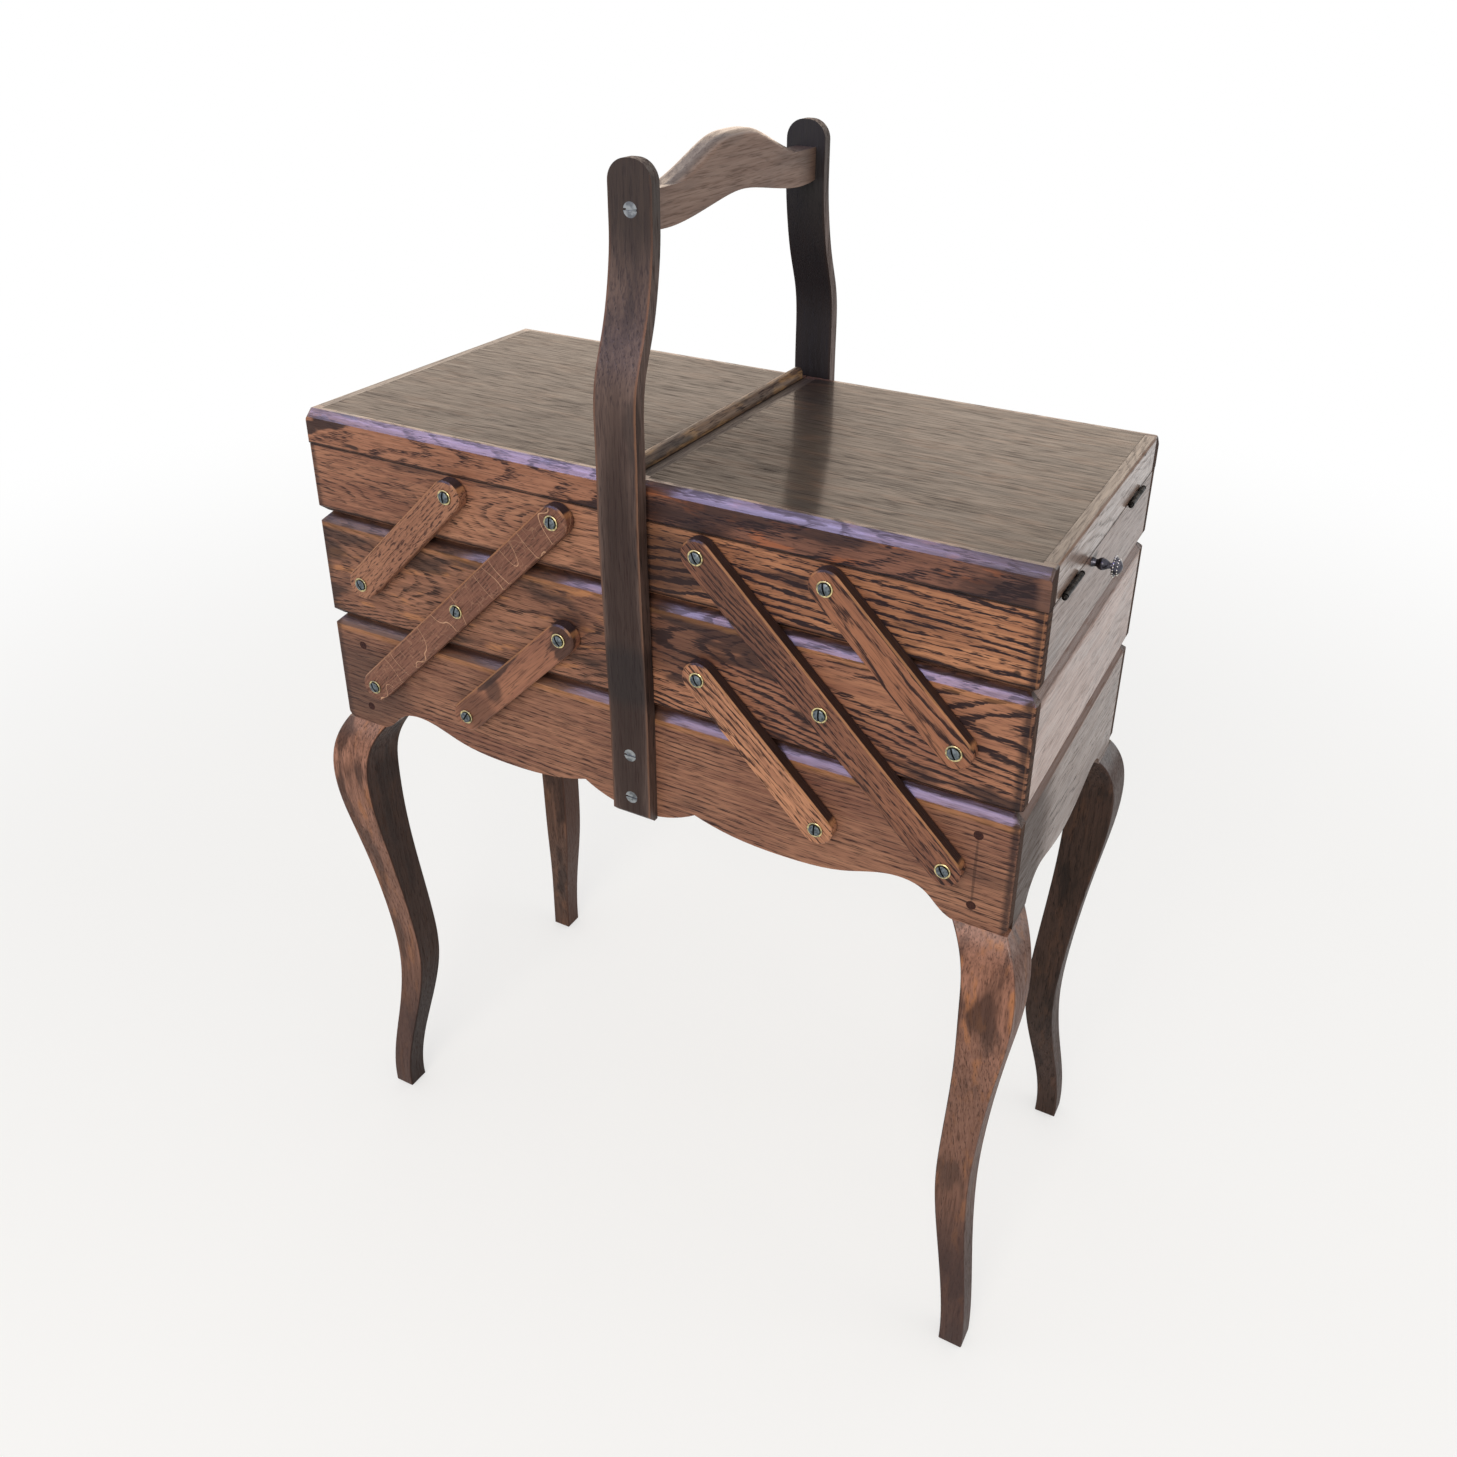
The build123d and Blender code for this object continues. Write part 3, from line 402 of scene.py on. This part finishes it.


# Legs. Cabriole legs sawn from thick oak. The front ones are rubbed in patches and darken towards
# the foot, and the rear ones are dark. Inner faces are painted nearly black as painted shade, but
# for the rear left leg's.
for name, s, tints, rubbed, inner in (
    ("front_left", -1, ("#a57866", "#7a5545", "#2e1d19"), 0.55, "#251915"),
    ("front_right", 1, ("#9c705e", "#734f40", "#2c1c18"), 0.7, "#251915"),
    ("rear_left", -1, ("#64493d", "#4e392f", "#281a15"), 0.1, "#4a342c"),
    ("rear_right", 1, ("#43312a", "#33251e", "#19110e"), 0.05, "#251915"),
):
    leg = oak(
        f"{name}_leg_oak", z, x, (225 * s, 0, 200), *tints, ring=3.0, pith=(60, 50), taper=0.03,
        lines=0.3, pores=1.5, smoke=(0.75, 0.5, 0.64), grit=(5, 0.7), sharp=(0.1, 0.7),
        shine=0.15, seed=5.0 + s, patches=(("#a8704a", 0.52, 0.66, rubbed),),
        # The first side tint, on the inner faces, is painted shade.
        sides=(((-s, 0, 0), 0.3, 0.7, inner, 0.9), ((s, 0, 0), 0.5, 0.9, "#3c2923", 0.55)),
        marks=(((225 * s, -110, 100), (150, 150, 250), "#543d33", 0.5),
               ((225 * s, -110, 0), (150, 150, 150), "#392c2b", 0.75)))
    finish_with(leg, f"leg_{name}")


# Middle trays. Flat-sawn boards with broad flame grain in the front. The plain end boards of both
# tiers are waxed, with a pale gloss, and brown on their chamfers.
mid_bottom, mid_top = span("right_mid_tray_front", 2)
mid_round = (mid_top - rim_chamfer / 2, rim_bend)
# The dark bands high on the chamfer and along the bottom are painted shade in the gaps between
# tiers. The orange band and the thin light end line are wear, and the dark end bands are stain.
mid_edge_wear_and_shade = ((2, mid_top - 8.5, 3, "#b07a4c", 0.3), (2, mid_top - 2.7, 1.8, "#1a0e0c", 0.8),
             (2, mid_bottom + 2.1, 3.5, "#1c0f0e", 0.8),
             (0, half_length - 3.5, 4.5, "#1a0e0e", 0.75),
             (0, half_length - 1.7, 0.7, "#8d6144", 0.25),
             (0, 2.5 - half_length, 3, "#1a0e0e", 0.3))
mid_right = oak(
    "right_mid_tray_oak", x, z, (165, -120, 492), "#a67458", "#7d5241", "#2b1b19", pith=(-14, 15),
    ring=4.4, taper=-0.16, warp=15, lines=0.85, pores=2.2, smoke=(0.85, 0.53, 0.63),
    sharp=(0.18, 0.66), seed=6.0, sides=worked, edges=mid_edge_wear_and_shade, rounded=mid_round,
    marks=(((24, -121, 503), (46, 9, 26), "#2b1c19", 0.55),))
finish_with(mid_right, "right_mid_tray_front", "right_mid_tray_rear")
mid_left = oak(
    "left_mid_tray_oak", x, z, (-90, -120, 492), "#9c6e56", "#6c4738", "#30201a", pith=(-6, 26),
    ring=2.6, warp=11, lines=0.55, pores=2.3, smoke=(0.8, 0.5, 0.64), grit=(9, 0.6),
    sharp=(0.12, 0.7), seed=7.5, patches=(("#b27a50", 0.56, 0.66, 0.6),), sides=worked,
    edges=mid_edge_wear_and_shade, rounded=mid_round)
finish_with(mid_left, "left_mid_tray_front", "left_mid_tray_rear")
for tier, tints, coat in (("mid", ("#96705d", "#7c5a4a", "#46332b"), 0.8),
                          ("top", ("#765a4c", "#5f473b", "#33261f"), 0.55)):
    tray_end = oak(
        f"{tier}_tray_end_oak", y, z, (250, 0, 500), *tints, ring=3.6, pith=(30, 36), taper=0.05,
        lines=0.35, pores=1.2, smoke=(0.3, 0.5, 0.66), sharp=(0.1, 0.8), shine=0.6, coat=coat,
        top=0.1, seed=8.0, edges=((2, mid_top - 8.5, 3, "#6a4632", 0.6),), rounded=mid_round,
        sides=((z, 0.4, 0.6, "#5e4032", 0.9),),
        # The small dark spot round each top tray knob's base is a painted shadow.
        marks=[((s * half_length, -32, 575), (6, 12, 4), "#1a1412", 0.75) for s in (1, -1)])
    finish_with(tray_end, *[f"{side}_{tier}_tray_{end}_end" for side in ("left", "right")
                            for end in ("outer", "inner")])


# Top trays. The same boards, with the strongest dark lines on the right. Their end and top edges
# have kept their stain, but for a rubbed line down the right end, and the dark band along their
# bottom edge is painted shade from the gap below.
top_bottom, top_top = span("right_top_tray_front", 2)
# The first band, along the bottom edge, is painted shade.
top_edge_wear_and_shade = ((2, top_bottom + 3.1, 3.5, "#1c0f0e", 0.85), (2, top_top - 0.1, 0.9, "#150b0a", 0.95),
             (0, half_length - 3.5, 4.5, "#1a0e0e", 0.7),
             (0, half_length - 1.7, 0.7, "#a5724c", 0.25),
             (0, 2.5 - half_length, 3, "#1a0e0e", 0.6))
top_right = oak(
    "right_top_tray_oak", x, z, (140, -120, 560), "#b47e5c", "#7e523c", "#251616", pith=(64, 22),
    ring=5.2, taper=0.035, warp=10, lines=0.95, pores=2.4, uneven=0.6, smoke=(0.7, 0.55, 0.66),
    sharp=(0.2, 0.64), seed=9.0, sides=worked, edges=top_edge_wear_and_shade,
    marks=(((239, -121, 541), (3, 6, 3), "#1a0e0c", 0.85),
           ((20, -121, 556), (50, 9, 30), "#2c1d1a", 0.7)))
finish_with(top_right, "right_top_tray_front", "right_top_tray_rear")
top_left = oak(
    "left_top_tray_oak", x, z, (-150, -120, 556), "#aa795e", "#7c5240", "#33211b", pith=(-4, 24),
    ring=2.4, taper=-0.08, warp=11, lines=0.4, pores=2.4, smoke=(0.5, 0.56, 0.68), grit=(9, 0.6),
    sharp=(0.12, 0.7), seed=10.3, sides=worked, edges=top_edge_wear_and_shade)
finish_with(top_left, "left_top_tray_front", "left_top_tray_rear")


# Lids. Framed panels, waxed on top, where the warm gloss is worn on the left and thinner by the
# joint, where the panel is also painted darker as a painted reflection of the handle. The end rails
# are pale with wax, but their level tops are painted near black, darkest by the strip, as painted
# shade, and the strip between the lids is rubbed.
lid_bottom, lid_top = span("right_lid_long_rails", 2)
lid_chamfer, lid_bend = 5.0, 4.3
lid_round = (lid_top - lid_chamfer / 2, lid_bend)
joint = (2, lid_bottom + 0.5, 0.8, "#150b0a", 0.9)
rail_right = oak(
    "right_lid_rail_oak", x, z, (120, -120, 591), "#825848", "#573a2f", "#241718", ring=5.0,
    pith=(3, 14), warp=14, lines=0.7, pores=2.4, smoke=(0.75, 0.46, 0.58), sharp=(0.15, 0.66),
    seed=11.0, patches=(("#94593c", 0.54, 0.62, 0.8),), sides=worked, edges=(joint,),
    marks=(((252, -122, 588), (10, 9, 26), "#805c4c", 0.4),), rounded=lid_round)
rail_left = oak(
    "left_lid_rail_oak", x, z, (-120, -120, 591), "#a2725a", "#80543f", "#2a1916", ring=6.0,
    pith=(3, 12), taper=0.14, warp=15, lines=0.5, smoke=(0.92, 0.535, 0.575), grit=(6, 0.6),
    sharp=(0.12, 0.7), seed=12.7, sides=worked, edges=(joint,), rounded=lid_round)
finish_with(rail_right, "right_lid_long_rails")
finish_with(rail_left, "left_lid_long_rails")
rail_end = oak(
    "lid_end_rail_oak", y, z, (250, 0, 591), "#846a5b", "#6b5447", "#3a2a23", ring=3.5,
    pith=(20, 30), lines=0.4, pores=1.4, smoke=(0.2, 0.5, 0.7), sharp=(0.1, 0.8), shine=0.35,
    coat=1.0, top=0.1, seed=13.0, edges=(joint,),
    # The near black on the level tops is painted shade beside the strip.
    sides=((z, 0.4, 0.7, "#6a4f3c", 0.85), (z, 0.9, 0.98, "#2a2019", 0.95)),
    marks=(*[((s * half_length, 97, 592), (8, 0.7, 11), "#1c1512", 0.8) for s in (1, -1)],
           # The dark middle, by the centre strip, is painted shade.
           ((0, 0, 603), (40, 400, 40), "#241b15", 0.95)))
finish_with(rail_end, "right_lid_end_rails", "left_lid_end_rails")
strip = oak(
    "lid_strip_oak", y, z, (0, 0, 606), "#6b5340", "#4a382c", "#241812", ring=3.5, pith=(20, 30),
    lines=0.5, sharp=(0.1, 0.8), coat=0.2, smoke=(0.8, 0.5, 0.6), seed=13.6,
    patches=(("#8a6b48", 0.5, 0.62, 0.7),))
finish_with(strip, "lid_centre_strip")
panel = oak(
    "lid_panel_oak", x, y, (120, 0, 602), "#34271d", "#231a15", "#110c0a", ring=7.0, pith=(60, 30),
    taper=0.04, warp=12, lines=0.3, pores=1.9, uneven=0.8, smoke=(0.75, 0.5, 0.62), grit=(14, 0.8),
    sharp=(0.05, 0.8), rough=0.35, shine=0.12, coat=0.7, polish=0.13, seed=14.0,
    patches=(("#51392a", 0.46, 0.7, 0.7),),
    edges=[(0, s * (half_length - 7.9), 1.0, "#120c09", 0.5) for s in (1, -1)],
    marks=(((-100, 0, 603), (280, 400, 60), "#2b2019", 0.3),
           # By the joint the wax is thinner, and the darker tint is a painted reflection of the
           # handle.
           ((24, -80, 603), (80, 120, 40), "#241b15", 0.4)))
finish_with(panel, "right_lid_panel", "left_lid_panel")


# Handle. Two bent uprights, dark to nearly black, with a worn line along their edges, and a paler
# bar between them. The uprights' inner faces are the darkest.
half_width = span("handle_upright_front", 0)[1]
for end, s in (("front", -1), ("rear", 1)):
    upright = oak(
        f"{end}_handle_upright_oak", z, x, (0, 125 * s, 580), "#67544d", "#45352f", "#201715",
        ring=3.4, pith=(40, 40), taper=0.02, lines=0.35, pores=1.3, smoke=(0.6, 0.5, 0.68),
        grit=(9, 0.7), sharp=(0.1, 0.75), shine=0.28, seed=15.0 + s,
        sides=(((0, -s, 0), 0.5, 0.9, "#19181a", 0.88),),
        edges=((0, half_width - 0.4, 1.6, "#80573c", 0.55),
               (0, 0.4 - half_width, 1.2, "#7a5038", 0.4)),
        marks=(((0, 126 * s, 480), (18, 30, 230), "#251209", 0.88),
               ((0, 126 * s, 477), (60, 30, 28), "#120b0c", 0.6),
               ((0, 126 * s, 785), (60, 60, 84), "#261d18", 0.75)))
    finish_with(upright, f"handle_upright_{end}")
bar = oak(
    "handle_bar_oak", y, z, (0, 0, 765), "#7e6557", "#6a5145", "#42322b", ring=3.6, pith=(60, 60),
    lines=0.3, pores=0.7, smoke=(0.4, 0.5, 0.7), grit=(8, 0.7), sharp=(0.1, 0.85), shine=0.4,
    seed=16.0, marks=(((0, 112, 762), (30, 46, 40), "#3d2f28", 0.6),),
    sides=((z, 0.5, 0.8, "#3a2a24", 0.7),))
finish_with(bar, "handle_bar")


# Arms. Flat oak bars with round ends, one oak for each pair. Their edges are painted nearly
# black, as painted shade, with the arrises above rubbed to tan, and one pair shows ray flecks
# across its grain.
arm_run, arm_rise = 81, 80  # from one pivot to the next


def slope(s):
    """Unit directions along and across an arm that rises towards the middle by its rise over its
    run."""
    length = np.hypot(arm_run, arm_rise)
    return ((-s * arm_run / length, 0, arm_rise / length),
            (arm_rise / length, 0, s * arm_run / length))


# The second tint, near black on the edge faces, is painted shade; the tan on the arrises is wear.
arm_rubbed_arris_and_shade = ((z, 0.25, 0.45, "#a9774f", 0.6), (z, 0.55, 0.68, "#1e1214", 0.94))
for side, s, kind, where, tints, looks in (
    ("right", 1, "long_arms", (131, -125, 489), ("#8a5c45", "#664134", "#281815"),
     dict(ring=3.0, pith=(16, 12), lines=0.8, pores=2.4,
          marks=(((80, -129, 541), (44, 12, 44), "#33211c", 0.35),))),
    ("right", 1, "upper_short_arms", (172, -125, 529), ("#9a674c", "#7d523e", "#2e1b16"),
     dict(ring=5.2, pith=(3, 12), pores=1.4, smoke=(0, 0.5, 0.7))),
    ("right", 1, "lower_short_arms", (90, -125, 449), ("#c18a68", "#976850", "#3a241c"),
     dict(ring=3.0, pith=(12, 12), lines=0.7, pores=2.2, smoke=(0.1, 0.5, 0.7))),
    ("left", -1, "long_arms", (-131, -125, 489), ("#7c5342", "#633f32", "#3a261f"),
     dict(ring=2.4, pith=(90, 30), lines=0.3, pores=1.6, smoke=(0.15, 0.5, 0.7), flecks=0.85)),
    ("left", -1, "upper_short_arms", (-172, -125, 529), ("#9c6e55", "#865c48", "#452c24"),
     dict(ring=3.2, pith=(90, 30), lines=0.45, pores=2.8, smoke=(0, 0.5, 0.7), grit=(4.5, 0.8))),
    ("left", -1, "lower_short_arms", (-90, -125, 449), ("#96664e", "#7a5040", "#33201b"),
     dict(ring=9.0, pith=(2, 6), taper=0.3, lines=0.25, pores=1.2, smoke=(0.85, 0.5, 0.55),
          marks=(((-106, -129, 436), (9, 6, 13), "#2f1c17", 0.7),
                 ((-122, -129, 416), (22, 9, 20), "#45291f", 0.6)))),
):
    arm = oak(f"{side}_{kind}_oak", *slope(s), where, *tints, seed=20.0 + 3 * s + where[2] / 100,
              sides=arm_rubbed_arris_and_shade, top=0.1, sharp=(0.14, 0.68), **looks)
    finish_with(arm, f"{side}_{kind}")


# Pivots. A slotted steel screw over a cupped brass washer holds each end of each arm, and the
# middle of the long ones. The brass is polished on the rim, and the steel is dull grey, painted
# black in the slots and round the foot of each head, as dirt and painted shade.
def metal(name, clean, stained, rough, scale, dirt_and_shade_depth=None):
    """Metal whose colour and roughness vary with blotchy noise of a size in mm. It is painted
    black, as dirt and painted shade, where it lies nearer than a distance to the box's middle
    plane."""
    material = bpy.data.materials.new(name)
    tree = blank(material)
    here = put(tree, "TexCoord").outputs["Object"]
    blot = put(tree, "Mapping", {"Vector": here, "Scale": [1000 / scale] * 3})
    blot = put(tree, "TexNoise", {"Vector": blot, "Scale": 1.0, "Detail": 3.0})
    stain = put(tree, "MapRange", {"Value": blot, 1: 0.4, 2: 0.65},
                interpolation_type="SMOOTHSTEP")
    colour = put(tree, "Mix", {0: stain, 6: linear(clean), 7: linear(stained)}, data_type="RGBA")
    if dirt_and_shade_depth:
        # Painted black below a depth: dirt and painted shade in the slots and round each head's
        # foot.
        depth = put(tree, "SeparateXYZ", {0: here}).outputs[1]
        depth = put(tree, "Math", {0: depth}, operation="ABSOLUTE")
        depth = put(tree, "MapRange", {"Value": depth, 1: dirt_and_shade_depth / 1000, 2: (dirt_and_shade_depth + 0.15) / 1000,
                                       3: 0.9, 4: 0.0})
        colour = put(tree, "Mix", {0: depth, 6: colour, 7: linear("#17140f")}, data_type="RGBA")
    dull = put(tree, "MapRange", {"Value": stain, 3: rough, 4: rough + 0.2})
    skin = put(tree, "BsdfPrincipled", {"Base Color": colour, "Metallic": 1.0, "Roughness": dull})
    put(tree, "OutputMaterial", {"Surface": skin})
    return material


def turned(profile, steps, ring=False):
    """Turned shape: each profile point (height, radius) spun about the z axis in even steps. A
    ring's profile closes on itself."""
    height, radius = np.array(profile, float).T
    angle = np.linspace(0, 2 * np.pi, steps, endpoint=False)
    points = np.stack([np.outer(radius, np.cos(angle)), np.outer(radius, np.sin(angle)),
                       np.outer(height, np.ones(steps))], -1)
    n = np.arange(points.shape[0] * steps).reshape(-1, steps)
    if ring:
        n = np.vstack([n, n[:1]])
    quads = np.stack([n[:-1], np.roll(n[:-1], -1, 1), np.roll(n[1:], -1, 1), n[1:]], -1)
    return points.reshape(-1, 3), quads.reshape(-1, 4)


def slotted_head(radius, edge, rise, slot, bottom, steps=6, columns=14):
    """Screw head by rows across its slot. Along a row, t runs over the top and back underneath.
    The top is the edge height plus a dome that falls with the square of the distance from the
    middle, but the slot's own rows lie at its bottom."""
    outer = -radius * np.cos(np.linspace(0, np.arccos(0.5 * slot / radius), steps))
    rows = np.concatenate([outer, [-0.5 * slot, 0.5 * slot], -outer[::-1]])
    cut = np.concatenate([0 * outer, [1, 1], 0 * outer])[:, None]
    t = np.cos(np.linspace(0, np.pi, columns))
    across = np.repeat(rows[:, None], columns, 1)
    along = np.sqrt(np.clip(radius ** 2 - rows ** 2, 0, None))[:, None] * t
    top = np.where(cut, bottom, edge + rise * (1 - (across ** 2 + along ** 2) / radius ** 2))
    points = np.stack([np.hstack([across, across]), np.hstack([along, along[:, ::-1]]),
                       np.hstack([top, 0 * top])], -1)
    n = np.arange(points.shape[0] * 2 * columns).reshape(-1, 2 * columns)
    quads = np.stack([n[:-1], n[1:], np.roll(n[1:], -1, 1), np.roll(n[:-1], -1, 1)], -1)
    return points.reshape(-1, 3), quads.reshape(-1, 4)


def copies(shape, places, turns, facing):
    """Copies of a shape at several places in mm. Each is spun about its own axis, and then z is
    laid along facing."""
    points, quads = shape
    c, s = np.cos(turns)[:, None], np.sin(turns)[:, None]
    spun = np.stack([c * points[:, 0] - s * points[:, 1], s * points[:, 0] + c * points[:, 1],
                     np.broadcast_to(points[:, 2], (len(turns), len(points)))], -1)
    out = np.array(facing, float)
    right = np.cross((0, 0, 1), out)
    moved = spun @ np.stack([right, np.cross(out, right), out])
    moved = moved + np.array(places, float)[:, None]
    quads = quads + len(points) * np.arange(len(turns))[:, None, None]
    return moved.reshape(-1, 3), quads.reshape(-1, 4)


def piece(name, parts, material, body, slot, *nodes):
    """Joins shapes in mm into one object with closed seams and outward faces, and fits it to its
    body."""
    counts = np.cumsum([0] + [len(points) for points, _ in parts])
    points = np.vstack([points for points, _ in parts]) / 1000
    quads = np.vstack([quads + k for (_, quads), k in zip(parts, counts)])
    mesh = bpy.data.meshes.new(name)
    mesh.from_pydata(points.tolist(), [], quads.tolist())
    work = bmesh.new()
    work.from_mesh(mesh)
    bmesh.ops.remove_doubles(work, verts=work.verts, dist=1e-6)
    bmesh.ops.recalc_face_normals(work, faces=work.faces)
    work.to_mesh(mesh)
    work.free()
    mesh.shade_smooth()
    mesh.set_sharp_from_angle(angle=0.7)
    mesh.materials.append(material)
    made = bpy.data.objects.new(name, mesh)
    scene.collection.objects.link(made)
    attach(made, body)
    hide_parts(*nodes)


washer_brass = metal("polished_washer_brass", "#d8c792", "#86826a", 0.2, 2.0)
arm_face = -1000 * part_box("right_long_arms")[0][1]
screw_steel = metal("dull_grey_steel", "#9a9e9f", "#6a6e6f", 0.38, 4.0)
# The heads are painted black in their slots and round their foot: dirt and painted shade.
pivot_steel = metal("dull_pivot_steel", "#6c7478", "#454b4e", 0.34, 1.6, dirt_and_shade_depth=arm_face + 1.35)
washer = turned([(0.0, 2.4), (0.0, 4.7), (0.3, 5.0), (0.75, 4.95), (1.0, 4.6), (1.0, 4.35),
                 (0.7, 3.7), (0.45, 3.2), (0.45, 2.4)], 40, ring=True)
head = slotted_head(3.7, 1.0, 0.9, 1.1, 0.5)
washer_lift, head_lift = 0.06, 0.7  # over the arm's face
chance = np.random.default_rng(4)
outer, low_pivot = 212, 408.5
middle, inner = outer - arm_run, outer - 2 * arm_run
pivots = {"base": [(s * px, low_pivot) for s in (1, -1) for px in (outer, middle)]}
for tier, pz, columns in (("mid", low_pivot + arm_rise, (outer, middle, inner)),
                          ("top", low_pivot + 2 * arm_rise, (middle, inner))):
    for side, s in (("right", 1), ("left", -1)):
        pivots[f"{side}_{tier}_tray"] = [(s * px, pz) for px in columns]
for body, spots in pivots.items():
    washers, heads = [], []
    for face in (-1, 1):
        spin = chance.uniform(-0.6, 0.6, len(spots))
        for made, shape, lift in ((washers, washer, washer_lift), (heads, head, head_lift)):
            places = [(px, face * (arm_face + lift), pz) for px, pz in spots]
            made.append(copies(shape, places, spin, (0, face, 0)))
    piece(f"{body}_pivot_washers", washers, washer_brass, body, "pivot_brass", f"{body}_pivots")
    piece(f"{body}_pivot_screws", heads, pivot_steel, body, "screw_steel", f"{body}_pivots")
finish_with(screw_steel, "handle_screws")


# Knobs. A small turned knob on each top tray's outer end, of nickelled brass gone nearly black.
# Two rings of beads on its collar have stayed bright.
knob_brass = metal("dark_nickelled_knob_brass", "#4e4d55", "#1d1b1d", 0.16, 3.0)
bead_brass = metal("bright_nickelled_bead_brass", "#d6d3cc", "#8f8a80", 0.25, 2.0)
turning = turned([(-0.5, 0.0), (-0.5, 3.0), (0.6, 2.8), (2.2, 2.1), (3.1, 2.3), (4.2, 3.3),
                  (5.8, 3.7), (7.4, 3.3), (8.8, 2.4), (10.2, 1.8), (11.3, 1.8), (11.7, 2.6),
                  (11.9, 5.4), (12.3, 6.0), (13.2, 6.0), (13.6, 5.4), (14.0, 4.9), (15.0, 4.5),
                  (16.1, 3.3), (17.0, 1.7), (17.4, 0.0)], 36)
knob_y, knob_z = -34.0, 573.9
arc = np.linspace(0, np.pi, 6)
bead = turned(np.stack([-0.5 * np.cos(arc), 0.5 * np.sin(arc)], -1), 8)
for side, s in (("right", 1), ("left", -1)):
    body, node, out = f"{side}_top_tray", f"{side}_top_tray_knob", (s, 0, 0)
    face = 1000 * abs(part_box(f"{side}_top_tray_outer_end")[1 if s > 0 else 0][0])
    seat = np.array([s * face, knob_y, knob_z])
    knob = [copies(turning, [seat], np.zeros(1), out)]
    piece(f"{side}_knob_turning", knob, knob_brass, body, "knob_brass", node)
    rims = []
    for count, reach, lift in ((22, 6.05, 12.75), (14, 4.7, 14.9)):
        turn = np.linspace(0, 2 * np.pi, count, endpoint=False)
        rim = np.stack([s * lift + 0 * turn, reach * np.cos(turn), reach * np.sin(turn)], -1)
        rims.append(copies(bead, seat + rim, 0 * turn, out))
    piece(f"{side}_knob_beads", rims, bead_brass, body, "knob_brass", node)


# Hinges. Small butt hinges, let in flush, with ball ends on the pins. They are of blackened iron,
# which has a dull sheen.
iron = metal("blackened_hinge_iron", "#2a2725", "#161413", 0.4, 2.0)
finish_with(iron, *[f"{side}_{part}_hinge_leaves" for side in ("left", "right")
                    for part in ("top_tray", "lid")])

low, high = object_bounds()
